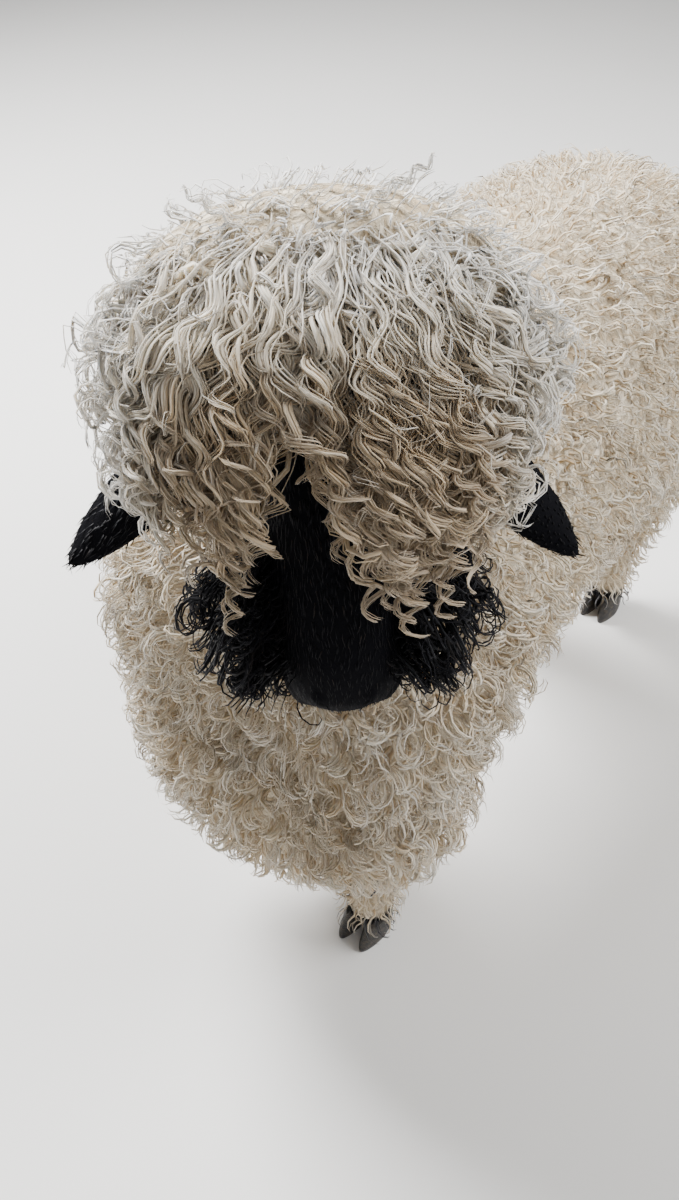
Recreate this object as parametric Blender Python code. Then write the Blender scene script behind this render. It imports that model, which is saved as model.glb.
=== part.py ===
# Valais Blacknose sheep, life size, in mid-step with its head turned to its left.
# Metres. +X is the animal's left, it faces -Y, +Z is up, and the hooves stand on z = 0.
import math

import bmesh
import bpy
import numpy as np
from mathutils import Vector

GAP = 0.0003  # clearance between two nodes that touch
SEED = 7

# Trunk: the core of the fleece, as (y, centre height, half width, half height)
TRUNK_STATIONS = (
    (-0.374, 0.415, 0.075, 0.085),
    (-0.354, 0.425, 0.134, 0.135),
    (-0.315, 0.440, 0.160, 0.165),
    (-0.250, 0.461, 0.166, 0.168),
    (-0.150, 0.480, 0.162, 0.166),
    (0.000, 0.492, 0.162, 0.162),
    (0.150, 0.497, 0.163, 0.157),
    (0.250, 0.495, 0.157, 0.147),
    (0.320, 0.489, 0.136, 0.126),
    (0.362, 0.482, 0.098, 0.093),
    (0.382, 0.476, 0.055, 0.050),
)
BRISKET_CENTRE = (-0.004, -0.290, 0.298)
BRISKET_RADII = (0.154, 0.096, 0.130)
COAT_RISE = 0.032  # clumps stand this far above the core on the trunk and neck
CLUMP_SPACING = 0.095
CLUMP_SPREAD = 0.66  # a clump's radius as a share of the spacing

# Legs: feet in a walk, left pair apart and right pair together
FOOT_X = 0.082
FEET = {
    "front_left": (1, -0.292),
    "front_right": (-1, -0.192),
    "hind_left": (1, 0.322),
    "hind_right": (-1, 0.177),
}
SHOULDER = (-0.215, 0.42)  # y, height
HIP = (0.235, 0.44)
LEG_TOP = 0.3048  # the legs are parted from the trunk here
HOOF_TOP = 0.036
# Height, half width and half depth of the core of a leg's wool, then of the space it keeps
LEG_STATIONS = (
    (0.305, 0.062, 0.068, 0.0805),
    (0.200, 0.052, 0.056, 0.078),
    (0.130, 0.040, 0.042, 0.067),
    (0.075, 0.028, 0.030, 0.050),
    (0.036, 0.024, 0.026, 0.044),
)
LEG_CLUMP_RISE = 0.020
LEG_CLUMP_SPACING = 0.074
CLAW_LENGTH = 0.056
CLAW_WIDTH = 0.0245
CLAW_SPLIT = 0.0030

# Neck: centre, direction, half width and half height of the core of its wool
NECK_STATIONS = (
    ((0.000, -0.165, 0.470), (0.00, -0.35, 0.94), 0.130, 0.130),
    ((0.004, -0.212, 0.575), (0.05, -0.50, 0.86), 0.118, 0.118),
    ((0.016, -0.250, 0.655), (0.25, -0.65, 0.70), 0.100, 0.096),
    ((0.034, -0.276, 0.704), (0.50, -0.75, 0.40), 0.086, 0.083),
    ((0.058, -0.312, 0.718), (0.58, -0.80, 0.10), 0.072, 0.074),
)
NECK_CLUMP_SPACING = 0.086
NECK_COAT_RISE = 0.028
NECK_FOOT = (0.0, -0.240, 0.640)
NECK_FOOT_NORMAL = (0.0, -0.5, 0.866)

# Head: the poll, the way it faces, and how far the face slopes down from there
POLL = Vector((0.057, -0.327, 0.800))
FACING = Vector((0.589, -0.808, 0.0)).normalized()
FACE_SLOPE = math.radians(55)
HEAD_TILT = math.radians(3)  # the muzzle swings this far to the animal's left
HEAD_BACK = (-0.045, -0.055)  # outward and down-the-face place of the cut between head and neck
HEAD_BACK_LEAN = 0.22  # how far that cut leans back from the vertical, as a slope
# Along the face from the poll: height of the upper and lower line, half width
SKULL_STATIONS = (
    (-0.022, -0.022, -0.062, 0.026),
    (-0.008, -0.002, -0.080, 0.044),
    (0.020, 0.014, -0.096, 0.054),
    (0.055, 0.022, -0.105, 0.058),
    (0.088, 0.024, -0.106, 0.056),
    (0.122, 0.022, -0.096, 0.047),
    (0.162, 0.017, -0.080, 0.040),
    (0.201, 0.010, -0.066, 0.036),
    (0.225, 0.003, -0.060, 0.036),
    (0.242, -0.006, -0.056, 0.032),
    (0.252, -0.018, -0.050, 0.022),
)
MUZZLE_END = SKULL_STATIONS[-1][0]
EYE_PLACE = (0.0445, -0.010, 0.080)
EYE_RADIUS = 0.0135
LID_THICKNESS = 0.0020
LID_OPENING = (0.0120, 0.0080)  # half length along the face, half height
EAR_ROOT = (0.050, -0.030, 0.046)
EAR_TIPS = {1: (0.151, -0.038, 0.166), -1: (-0.167, -0.038, 0.153)}
EAR_HALF_WIDTH = 0.0215
EAR_THICKNESS = 0.0036
EAR_CUP = 0.0085

# Mop: locks over a cap on the crown, in the head's own across, out and down-the-face axes
CAP_CENTRE = (0.0, -0.004, 0.008)
CAP_RADII = (0.078, 0.060, 0.050)
CROWN_SPACING = 0.050
CROWN_RISE = 0.014
MOP_CENTRE = (0.000, -0.012, 0.038)
MOP_ACROSS = 0.142
MOP_HEIGHT = 0.086
MOP_DOWN_FACE = 0.120
MOP_BACK = 0.094
# Cheek wool: how far down the face and out of it each clump grows, and how far it stands out
CHEEK_CLUMPS = (
    (0.128, -0.040, 0.046),
    (0.154, -0.030, 0.052),
    (0.182, -0.026, 0.050),
    (0.168, -0.060, 0.046),
    (0.204, -0.040, 0.036),
)
CHEEK_CLUMP_RADIUS = 0.023
LOCK_WIDTH = 0.044
LOCK_THICKNESS = 0.011
# Tiers of locks: how many, where each begins and ends round the mop in degrees, how deep it is
# rooted, how soon it comes to the outside, how far it falls
LOCK_TIERS = (
    (5, 3, 50, 0.60, 2.6, 0.006),
    (8, 12, 70, 0.52, 2.4, 0.014),
    (11, 28, 86, 0.47, 1.8, 0.030),
    (8, 34, 72, 0.47, 1.8, 0.075),
)

TAIL_PATH = (
    (0.0, 0.335, 0.585),
    (0.0, 0.385, 0.580),
    (0.0, 0.418, 0.545),
    (0.0, 0.430, 0.480),
    (0.0, 0.428, 0.400),
    (0.0, 0.420, 0.345),
)
TAIL_HALF_WIDTHS = (0.022, 0.026, 0.030, 0.032, 0.030, 0.018)
TAIL_CLUMP_SPACING = 0.064
TAIL_CLUMP_RISE = 0.014

WOOL = ("wool", (0.78, 0.73, 0.63), 0.95)
BLACK_HIDE = ("black_hide", (0.012, 0.012, 0.016), 0.75)
HORN = ("hoof_horn", (0.015, 0.014, 0.014), 0.55)
EYE = ("eye", (0.020, 0.012, 0.008), 0.08)

LEVEL_ACROSS = Vector((-FACING.y, FACING.x, 0.0))
LEVEL_DOWN = FACING * math.cos(FACE_SLOPE) - Vector((0, 0, math.sin(FACE_SLOPE)))
OUT = FACING * math.sin(FACE_SLOPE) + Vector((0, 0, math.cos(FACE_SLOPE)))
DOWN_FACE = LEVEL_DOWN * math.cos(HEAD_TILT) + LEVEL_ACROSS * math.sin(HEAD_TILT)
ACROSS = LEVEL_ACROSS * math.cos(HEAD_TILT) - LEVEL_DOWN * math.sin(HEAD_TILT)


def head_point(across, out, down_face):
    return POLL + ACROSS * across + OUT * out + DOWN_FACE * down_face


def head_way(across, out, down_face):
    return ACROSS * across + OUT * out + DOWN_FACE * down_face


# Shapes are pairs of points and triangles until they become objects


def outward(points, faces):
    points = np.array([tuple(p) for p in points], float)
    faces = np.array(faces, int)
    a, b, c = (points[faces[:, i]] for i in range(3))
    if np.einsum("ij,ij->i", a, np.cross(b, c)).sum() < 0:
        faces = faces[:, ::-1]
    return points, faces


def ellipse(centre, across, up, half_width, half_height, sides, turn=0.0):
    centre, across, up = Vector(centre), Vector(across), Vector(up)
    return [
        centre
        + across * (half_width * math.cos(2 * math.pi * (i + turn) / sides))
        + up * (half_height * math.sin(2 * math.pi * (i + turn) / sides))
        for i in range(sides)
    ]


def loft(rings, start=None, end=None):
    """A closed skin through rings of equal count, each end a fan to a point or to its middle."""
    sides = len(rings[0])
    points = [p for ring in rings for p in ring]
    faces = []
    for k in range(len(rings) - 1):
        for i in range(sides):
            a, b = k * sides + i, k * sides + (i + 1) % sides
            faces += [(a, b, b + sides), (a, b + sides, a + sides)]
    for ring_number, apex in ((0, start), (len(rings) - 1, end)):
        base = ring_number * sides
        if apex is None:
            apex = sum((Vector(p) for p in rings[ring_number]), Vector()) / sides
        points.append(apex)
        tip = len(points) - 1
        for i in range(sides):
            a, b = base + i, base + (i + 1) % sides
            faces.append((b, a, tip) if ring_number == 0 else (a, b, tip))
    return outward(points, faces)


def ball(centre, radii, sides, levels, axes=None):
    across, side, pole = axes or (Vector((1, 0, 0)), Vector((0, 1, 0)), Vector((0, 0, 1)))
    centre = Vector(centre)
    rings = []
    for k in range(1, levels):
        a = math.pi * k / levels
        rings.append(
            ellipse(
                centre - pole * (radii[2] * math.cos(a)),
                across,
                side,
                radii[0] * math.sin(a),
                radii[1] * math.sin(a),
                sides,
            )
        )
    return loft(rings, centre - pole * radii[2], centre + pole * radii[2])


def tube(path, radius, sides):
    """A tube of one radius along the path."""
    path = [Vector(p) for p in path]
    rings = []
    side = None
    for i, p in enumerate(path):
        along = (path[min(i + 1, len(path) - 1)] - path[max(i - 1, 0)]).normalized()
        guide = side or (Vector((0, 0, 1)) if abs(along.z) < 0.9 else Vector((1, 0, 0)))
        side = (guide - along * guide.dot(along)).normalized()
        rings.append(ellipse(p, side, along.cross(side), radius, radius, sides))
    return loft(rings)


def clump(root, out, lay, radius, rise, draw):
    """A rounded clump of wool on a sunk foot, leaning the way the coat lies."""
    out, lay = Vector(out), Vector(lay)
    lay = (lay - out * lay.dot(out)).normalized()
    side = out.cross(lay)
    radius *= draw.uniform(0.88, 1.14)
    rise *= draw.uniform(0.85, 1.18)
    turn = draw.uniform(0, 1)
    rings = []
    for height, width, lean in ((-0.50, 0.80, -0.25), (0.25, 1.0, -0.05), (0.80, 0.66, 0.20)):
        middle = Vector(root) + out * (height * rise) + lay * (lean * radius)
        rings.append(ellipse(middle, lay, side, radius * width * 1.08, radius * width, 6, turn))
    return loft(rings, end=Vector(root) + out * rise * 1.04 + lay * (0.42 * radius))


def lock(path, outs, width, thickness):
    """A flat lock, ridged on its outside, that tapers to a point at the end of its path."""
    path = [Vector(p) for p in path]
    last = len(path) - 1
    rings = []
    for i in range(last):
        t = i / last
        along = (path[i + 1] - path[max(i - 1, 0)]).normalized()
        out = (Vector(outs[i]) - along * along.dot(Vector(outs[i]))).normalized()
        taper = (0.75 + 0.7 * t if t < 0.35 else 1.0) * (1 - max(0.0, (t - 0.30) / 0.80)) ** 0.8
        across = along.cross(out) * (width / 2 * taper)
        rings.append([path[i] - across, path[i] + out * (thickness * taper), path[i] + across])
    return loft(rings, end=path[last])


def plank(point, normal, size):
    """A box whose one face passes through the point, filling the side that the normal shows."""
    point, normal = Vector(point), Vector(normal).normalized()
    side = normal.orthogonal().normalized()
    other = normal.cross(side)
    square = ((1, 1), (-1, 1), (-1, -1), (1, -1))
    rings = [
        [point + normal * depth + side * (size * a) + other * (size * b) for a, b in square]
        for depth in (0.0, size)
    ]
    return loft(rings)


# Objects and joins


def add_object(name, shape):
    points, faces = shape
    mesh = bpy.data.meshes.new(name)
    mesh.from_pydata([tuple(p) for p in points], [], [tuple(int(i) for i in f) for f in faces])
    mesh.update()
    item = bpy.data.objects.new(name, mesh)
    bpy.context.scene.collection.objects.link(item)
    return item


def boolean(item, operation, shapes):
    """Applies one Boolean of the object with a collection of closed shapes."""
    group = bpy.data.collections.new("tools")
    bpy.context.scene.collection.children.link(group)
    for i, shape in enumerate(shapes):
        tool = add_object(f"tool_{i}", shape)
        bpy.context.scene.collection.objects.unlink(tool)
        group.objects.link(tool)
    modifier = item.modifiers.new("join", "BOOLEAN")
    modifier.operation = operation
    modifier.operand_type = "COLLECTION"
    modifier.collection = group
    modifier.solver = "MANIFOLD"
    graph = bpy.context.evaluated_depsgraph_get()
    mesh = bpy.data.meshes.new_from_object(item.evaluated_get(graph))
    item.modifiers.clear()
    item.data = mesh
    for tool in list(group.objects):
        bpy.data.objects.remove(tool)
    bpy.data.collections.remove(group)


def keep_largest(item):
    """Leaves the one closed surface that holds the most."""
    shape = bmesh.new()
    shape.from_mesh(item.data)
    bmesh.ops.triangulate(shape, faces=shape.faces)
    left = set(shape.faces)
    surfaces = []
    while left:
        stack = [left.pop()]
        surface = set(stack)
        while stack:
            for edge in stack.pop().edges:
                for face in edge.link_faces:
                    if face in left:
                        left.discard(face)
                        surface.add(face)
                        stack.append(face)
        surfaces.append(surface)

    def held(surface):
        corners = ([v.co for v in face.verts] for face in surface)
        return abs(sum(a.dot(b.cross(c)) for a, b, c in corners))

    keep = max(surfaces, key=held)
    drop = [face for face in shape.faces if face not in keep]
    bmesh.ops.delete(shape, geom=drop, context="FACES")
    loose = [v for v in shape.verts if not v.link_faces]
    bmesh.ops.delete(shape, geom=loose, context="VERTS")
    shape.to_mesh(item.data)
    shape.free()


def fused(name, shapes, cuts=(), limit=None):
    """One closed node: the shapes joined, kept inside the limit, then cut."""
    item = add_object(name, shapes[0])
    if len(shapes) > 1:
        boolean(item, "UNION", shapes[1:])
    if limit is not None:
        boolean(item, "INTERSECT", [limit])
    if cuts:
        boolean(item, "DIFFERENCE", list(cuts))
    keep_largest(item)
    return item


def shape_of(item):
    points = np.array([tuple(v.co) for v in item.data.vertices])
    faces = np.array([tuple(p.vertices) for p in item.data.polygons])
    return points, faces


def scatter(shape, spacing, draw, wanted):
    """Places set evenly on a surface with their normals, no two closer than the spacing."""
    points, faces = shape
    a, b, c = (points[faces[:, i]] for i in range(3))
    normal = np.cross(b - a, c - a)
    area = np.linalg.norm(normal, axis=1)
    corner_normal = np.zeros_like(points)
    for i in range(3):
        np.add.at(corner_normal, faces[:, i], normal)
    tries = int(60 * area.sum() / 2 / spacing**2)
    chosen = draw.choice(len(faces), tries, p=area / area.sum())
    u, v = draw.random(tries), draw.random(tries)
    fold = u + v > 1
    u[fold], v[fold] = 1 - u[fold], 1 - v[fold]
    weights = np.stack([1 - u - v, u, v], 1)
    spots = np.einsum("ij,ijk->ik", weights, points[faces[chosen]])
    ways = np.einsum("ij,ijk->ik", weights, corner_normal[faces[chosen]])
    ways /= np.linalg.norm(ways, axis=1)[:, None]
    kept = []
    for spot, way in zip(spots, ways):
        if not wanted(spot):
            continue
        if all(np.linalg.norm(spot - other) > spacing for other, _ in kept):
            kept.append((spot, way))
    return kept


# Body


def trunk_core():
    rings = [
        ellipse((0, y, z), (1, 0, 0), (0, 0, 1), half_width, half_height, 18)
        for y, z, half_width, half_height in TRUNK_STATIONS
    ]
    return loft(rings)


def leg_line(name, height):
    """How far forward or back a leg is at a height."""
    foot = FEET[name][1]
    if name.startswith("front"):
        knots = [(HOOF_TOP, foot + 0.006), (0.075, foot + 0.013), (0.200, None), (SHOULDER[1], SHOULDER[0])]
        knots[2] = (0.200, SHOULDER[0] + 0.66 * (foot - SHOULDER[0]))
    else:
        stifle = HIP[0] - 0.012 + 0.35 * (foot - HIP[0])
        knots = [(HOOF_TOP, foot + 0.006), (0.075, foot + 0.008), (0.205, foot + 0.024), (0.340, stifle), (HIP[1], HIP[0])]
    heights, places = zip(*knots)
    return float(np.interp(height, heights, places))


def leg_core(name):
    side = FEET[name][0]
    top = HIP if name.startswith("hind") else SHOULDER
    stations = [(top[1], 0.066, 0.082), (0.36, 0.068, 0.078)]
    stations += [(z, w, d) for z, w, d, _ in LEG_STATIONS]
    stations[-1] = (HOOF_TOP - 0.01, stations[-1][1], stations[-1][2])
    rings = [
        ellipse((side * FOOT_X, leg_line(name, z), z), (1, 0, 0), (0, 1, 0), half_width, half_depth, 12)
        for z, half_width, half_depth in stations
    ]
    return loft(rings)


def leg_space(name, grow):
    """The room that a leg and its wool have to themselves."""
    side = FEET[name][0]
    heights = [LEG_TOP + grow] + [z for z, *_ in LEG_STATIONS[1:-1]] + [HOOF_TOP + GAP - grow]
    rings = [
        ellipse((side * FOOT_X, leg_line(name, z), z), (1, 0, 0), (0, 1, 0), half + grow, half + grow, 12)
        for z, (*_, half) in zip(heights, LEG_STATIONS)
    ]
    return loft(rings)


def tail_core():
    return tail_loft(0.0, 0.0)


def tail_space(grow):
    return tail_loft(0.018, grow)


def tail_loft(room, grow):
    path = [Vector(p) for p in TAIL_PATH]
    if room:
        path[0] = path[0] - Vector((0, grow, 0))
        path[-1] = path[-1] - Vector((0, 0, 0.022 + grow))
    rings = []
    for i, (p, half) in enumerate(zip(path, TAIL_HALF_WIDTHS)):
        along = (path[min(i + 1, len(path) - 1)] - path[max(i - 1, 0)]).normalized()
        extra = grow + (room if i > 0 else room / 4)
        up = along.cross(Vector((1, 0, 0)))
        rings.append(ellipse(p, (1, 0, 0), up, half + extra, half * 0.8 + extra * 0.8, 10))
    return loft(rings)


def trunk():
    draw = np.random.default_rng(SEED)
    core = [trunk_core(), ball(BRISKET_CENTRE, BRISKET_RADII, 12, 6), neck_core()]
    core += [leg_core(name) for name in FEET]
    item = fused("core", core)
    surface = shape_of(item)
    bpy.data.objects.remove(item)
    normal = Vector(NECK_FOOT_NORMAL).normalized()

    def wanted(spot):
        over_neck = normal.dot(Vector(spot) - Vector(NECK_FOOT)) > 0.02
        in_leg = spot[2] < LEG_TOP and any(
            math.hypot(spot[0] - side * FOOT_X, spot[1] - leg_line(name, max(spot[2], HOOF_TOP))) < 0.084
            for name, (side, _) in FEET.items()
        )
        under_tail = abs(spot[0]) < 0.03 and spot[1] > 0.36
        return not (over_neck or in_leg or under_tail)

    clumps = []
    for spot, way in scatter(surface, CLUMP_SPACING, draw, wanted):
        lay = Vector((0.0, 0.35 if spot[1] > -0.25 else 0.0, -1.0))
        clumps.append(clump(spot, way, lay, CLUMP_SPREAD * CLUMP_SPACING, COAT_RISE, draw))
    cuts = [plank(Vector(NECK_FOOT), normal, 0.6), tail_space(GAP)]
    cuts += [leg_space(name, GAP) for name in FEET]
    return fused("torso", core + clumps, cuts)


def head_back():
    """A point on the cut between neck and head, and the way it faces."""
    normal = (FACING + Vector((0, 0, HEAD_BACK_LEAN))).normalized()
    return head_point(0, HEAD_BACK[0], HEAD_BACK[1]), normal


def neck_core():
    rings = []
    for centre, way, half_width, half_height in NECK_STATIONS:
        way = Vector(way).normalized()
        across = way.cross(Vector((0, 0, 1))).normalized()
        rings.append(ellipse(centre, across, across.cross(way), half_width, half_height, 16))
    return loft(rings)


def neck_clumps(near, far):
    """The neck's clumps from one distance to another past the cut between neck and head."""
    draw = np.random.default_rng(SEED + 1)
    foot_normal = Vector(NECK_FOOT_NORMAL).normalized()
    back, back_normal = head_back()

    def wanted(spot):
        over_foot = foot_normal.dot(Vector(spot) - Vector(NECK_FOOT)) > -0.02
        return over_foot and back_normal.dot(Vector(spot) - back) < 0.06

    clumps = []
    for spot, way in scatter(neck_core(), NECK_CLUMP_SPACING, draw, wanted):
        shape = clump(spot, way, (0, 0.2, -1), CLUMP_SPREAD * NECK_CLUMP_SPACING, NECK_COAT_RISE, draw)
        if near < back_normal.dot(Vector(spot) - back) < far:
            clumps.append(shape)
    return clumps


def neck():
    foot_normal = Vector(NECK_FOOT_NORMAL).normalized()
    foot = Vector(NECK_FOOT) + foot_normal * GAP
    back, back_normal = head_back()
    cuts = [plank(foot, -foot_normal, 0.6), plank(back, back_normal, 0.6)]
    return fused("neck", [neck_core()] + neck_clumps(-1.0, 0.05), cuts)


def leg(name):
    draw = np.random.default_rng(SEED + 10 + list(FEET).index(name))
    core = leg_core(name)
    side = FEET[name][0]

    def wanted(spot):
        return 0.052 < spot[2] < LEG_TOP - 0.008

    clumps = []
    for spot, way in scatter(core, LEG_CLUMP_SPACING, draw, wanted):
        slim = np.interp(spot[2], (0.05, 0.20), (0.55, 1.0))
        clumps.append(
            clump(spot, way, (0, 0, -1), CLUMP_SPREAD * LEG_CLUMP_SPACING * slim, LEG_CLUMP_RISE * slim, draw)
        )
    return fused(f"leg_{name}", [core] + clumps, limit=leg_space(name, 0.0))


def claw(name, inner):
    """One half of a cloven hoof, flat on the floor, its toe forward."""
    side, foot = FEET[name]
    apart = (CLAW_WIDTH + CLAW_SPLIT) / 2 * (-side if inner else side)
    rings = []
    for z, wide, long, back in ((0.0, 1.0, 1.0, 0.0), (0.012, 1.0, 0.96, 0.002), (HOOF_TOP, 0.86, 0.78, 0.008)):
        ring = []
        for i in range(10):
            a = 2 * math.pi * i / 10
            toe = max(0.0, -math.sin(a))
            x = math.cos(a) * CLAW_WIDTH / 2 * wide * (1 - 0.25 * toe)
            y = math.sin(a) * CLAW_LENGTH / 2 * long * (1 + 0.10 * toe)
            ring.append(Vector((side * FOOT_X + apart + x, foot + back + y, z)))
        rings.append(ring)
    return add_object(f"hoof_{name}_{'inner' if inner else 'outer'}", loft(rings))


def tail():
    draw = np.random.default_rng(SEED + 2)
    core = tail_core()

    def wanted(spot):
        return spot[1] > 0.385

    clumps = []
    for spot, way in scatter(core, TAIL_CLUMP_SPACING, draw, wanted):
        clumps.append(clump(spot, way, (0, 0, -1), 0.58 * TAIL_CLUMP_SPACING, TAIL_CLUMP_RISE, draw))
    return fused("tail", [core] + clumps, limit=tail_space(0.0))


# Head


def skull_ring(down_face, upper, lower, half_width, sides=16):
    middle, half = (upper + lower) / 2, (upper - lower) / 2
    return ellipse(head_point(0, middle, down_face), ACROSS, OUT, half_width, half, sides)


def skull():
    return loft([skull_ring(*station) for station in SKULL_STATIONS])


def skull_side(down_face, out, side):
    """A point on the skull's flank."""
    stations = np.array(SKULL_STATIONS)
    upper, lower, half_width = (np.interp(down_face, stations[:, 0], stations[:, i]) for i in (1, 2, 3))
    height = (out - (upper + lower) / 2) / ((upper - lower) / 2)
    return head_point(side * half_width * math.sqrt(max(0.0, 1 - height * height)), out, down_face)


def mouth_path(lift):
    """Round the muzzle from one corner of the mouth to the other."""
    places = [(MUZZLE_END - back, -0.036 - 0.06 * back) for back in (0.071, 0.053, 0.035, 0.019, 0.007)]
    left = [skull_side(f, n + lift, 1) for f, n in places]
    right = [skull_side(f, n + lift, -1) for f, n in places]
    return left + [head_point(0, -0.0355 + lift, MUZZLE_END + 0.0005)] + right[::-1]


def eye_frame(side):
    """The eye's centre and its axes along the face, up and outward."""
    place = head_point(side * EYE_PLACE[0], EYE_PLACE[1], EYE_PLACE[2])
    out = head_way(side * 0.93, 0.30, 0.20).normalized()
    along = (DOWN_FACE - out * DOWN_FACE.dot(out)).normalized()
    return place, along, out.cross(along), out


def eyeball(side, grow=0.0):
    place, along, up, out = eye_frame(side)
    radius = EYE_RADIUS + grow
    return ball(place, (radius, radius, radius), 12, 8, (along, up, out))


def lid(side):
    place, along, up, out = eye_frame(side)
    radius = EYE_RADIUS + LID_THICKNESS
    return ball(place, (radius * 1.08, radius, radius), 12, 5, (along, up, out))


def lid_opening(side):
    place, along, up, out = eye_frame(side)
    rings = [
        ellipse(place + out * depth, along, up, LID_OPENING[0] * wide, LID_OPENING[1] * wide, 12)
        for depth, wide in ((EYE_RADIUS * 0.35, 0.9), (EYE_RADIUS + 0.02, 1.25))
    ]
    return loft(rings)


def nostril(side, cutter):
    slant = head_way(side * 0.55, 0.75, -0.15).normalized()
    out = head_way(side * 0.45, 0.15, 0.88).normalized()
    out = (out - slant * out.dot(slant)).normalized()
    axes = (slant, slant.cross(out), out)
    if cutter:
        middle = head_point(side * 0.0160, -0.0120, MUZZLE_END - 0.003)
        return ball(middle, (0.0080, 0.0028, 0.0090), 8, 4, axes)
    middle = head_point(side * 0.0165, -0.0130, MUZZLE_END - 0.012)
    return ball(middle, (0.0125, 0.0085, 0.0110), 8, 5, axes)


def ear(side, grow=0.0):
    """A leaf-shaped ear, cupped on its lower side."""
    root = head_point(side * EAR_ROOT[0], EAR_ROOT[1], EAR_ROOT[2])
    tip = head_point(*EAR_TIPS[side])
    along = (tip - root).normalized()
    back = head_way(side * 0.10, 0.92, -0.36)
    back = (back - along * back.dot(along)).normalized()
    across = along.cross(back)
    rings = []
    profile = (
        (-0.01, 0.50, 0.2),
        (0.12, 0.62, 0.5),
        (0.30, 0.92, 0.9),
        (0.50, 1.00, 0.9),
        (0.70, 0.88, 0.7),
        (0.87, 0.58, 0.4),
        (0.975, 0.22, 0.2),
    )
    for t, wide, cup in profile:
        middle = root.lerp(tip, t) + OUT * (0.010 * math.sin(math.pi * t))
        if t < 0:
            middle -= along * (2 * grow)
        half = EAR_HALF_WIDTH * wide + 2 * grow
        thick = EAR_THICKNESS / 2 * (1.9 - 0.9 * min(1.0, t / 0.3)) + 2 * grow
        ring = []
        for face in (1, -1):
            for i in range(5):
                u = face * (-1 + i / 2)
                rise = face * thick * (1 - 0.5 * u * u) - EAR_CUP * cup * u * u
                ring.append(middle + across * (half * u) + back * rise)
        rings.append(ring)
    return loft(rings, end=tip + along * (4 * grow))


def mop_place(theta, phi, depth):
    """A point in the mop: theta from its top, phi round it from the face, depth 1 on its outside."""
    down, across = math.cos(phi), math.sin(phi)
    reach = MOP_DOWN_FACE if down > 0 else MOP_BACK
    s = MOP_CENTRE[0] + depth * MOP_ACROSS * across * math.sin(theta)
    f = MOP_CENTRE[2] + depth * reach * down * math.sin(theta)
    n = MOP_CENTRE[1] + depth * MOP_HEIGHT * math.cos(theta)
    over_face = max(0.0, down) ** 1.5 * max(0.0, math.sin(theta)) ** 2
    n += depth * 0.044 * over_face
    return head_point(s, n, f)


def mop_lock(phi, first, last, depth, haste, fall, draw):
    """One lock from the crown, bending down as it leaves it and swaying to its tip."""
    steps = 5
    phase = draw.uniform(0, 2 * math.pi)
    path = []
    for k in range(steps):
        t = k / (steps - 1)
        theta = math.radians(first + (last - first) * t)
        out = depth + (1.0 - depth) * min(1.0, haste * t) ** 0.8
        turn = phi + 0.055 * math.sin(phase + 7.0 * t) * min(1.0, 2.5 * t)
        path.append(mop_place(theta, turn, out) - Vector((0, 0, fall * t * t)))
    middle = head_point(*MOP_CENTRE)
    width = LOCK_WIDTH * draw.uniform(0.82, 1.12)
    return lock(path, [p - middle for p in path], width, LOCK_THICKNESS)


def mop_locks():
    """Tiers of locks that fall from the crown on every side, the last of them over the face."""
    draw = np.random.default_rng(SEED + 3)
    shapes = []
    for tier, (count, first, last, depth, haste, fall) in enumerate(LOCK_TIERS):
        over_face = tier == len(LOCK_TIERS) - 1
        for i in range(count):
            if over_face:
                phi = math.radians(-62 + 124 * i / (count - 1)) + draw.uniform(-0.05, 0.05)
            else:
                phi = 2 * math.pi * (i + 0.37 * tier + draw.uniform(-0.2, 0.2)) / count
            end = last + draw.uniform(-6, 6)
            shapes.append(mop_lock(phi, first, end, depth, haste, fall * draw.uniform(0.8, 1.2), draw))
    return shapes


def cheek_clumps():
    """Black curls that stand out from the cheeks beside the muzzle."""
    draw = np.random.default_rng(SEED + 4)
    shapes = []
    for side in (1, -1):
        for down_face, out, rise in CHEEK_CLUMPS:
            root = skull_side(down_face, out, side)
            way = head_way(side * 0.93, 0.10, 0.34).normalized()
            shapes.append(clump(root, way, (0, 0, -1), CHEEK_CLUMP_RADIUS, rise, draw))
    return shapes


def crown_clumps(cap):
    """Short wool over the crown, between the roots of the locks."""
    draw = np.random.default_rng(SEED + 5)

    def wanted(spot):
        return OUT.dot(Vector(spot) - POLL) > 0.002 and DOWN_FACE.dot(Vector(spot) - POLL) < 0.024

    return [
        clump(spot, way, (0, 0, -1), 0.60 * CROWN_SPACING, CROWN_RISE, draw)
        for spot, way in scatter(cap, CROWN_SPACING, draw, wanted)
    ]


def head():
    cap = ball(head_point(*CAP_CENTRE), CAP_RADII, 12, 6, (ACROSS, DOWN_FACE, OUT))
    bumps = [lid(1), lid(-1), nostril(1, False), nostril(-1, False)]
    bumps += [tube(mouth_path(0.0036), 0.0040, 6), tube(mouth_path(-0.0040), 0.0036, 6)]
    hollows = [tube(mouth_path(0.0), 0.0016, 4)]
    for side in (1, -1):
        hollows += [lid_opening(side), nostril(side, True)]
    item = fused("face", [skull()] + bumps, hollows)
    face = shape_of(item)
    bpy.data.objects.remove(item)
    back, back_normal = head_back()
    foot_normal = Vector(NECK_FOOT_NORMAL).normalized()
    cuts = [plank(back + back_normal * GAP, -back_normal, 0.6)]
    cuts.append(plank(Vector(NECK_FOOT) + foot_normal * GAP, -foot_normal, 0.6))
    for side in (1, -1):
        cuts += [eyeball(side, GAP), ear(side, GAP)]
    coat = crown_clumps(cap) + mop_locks() + cheek_clumps() + neck_clumps(-0.05, 1.0)
    return fused("head", [face, cap, neck_core()] + coat, cuts)


# Finish and placing


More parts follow.
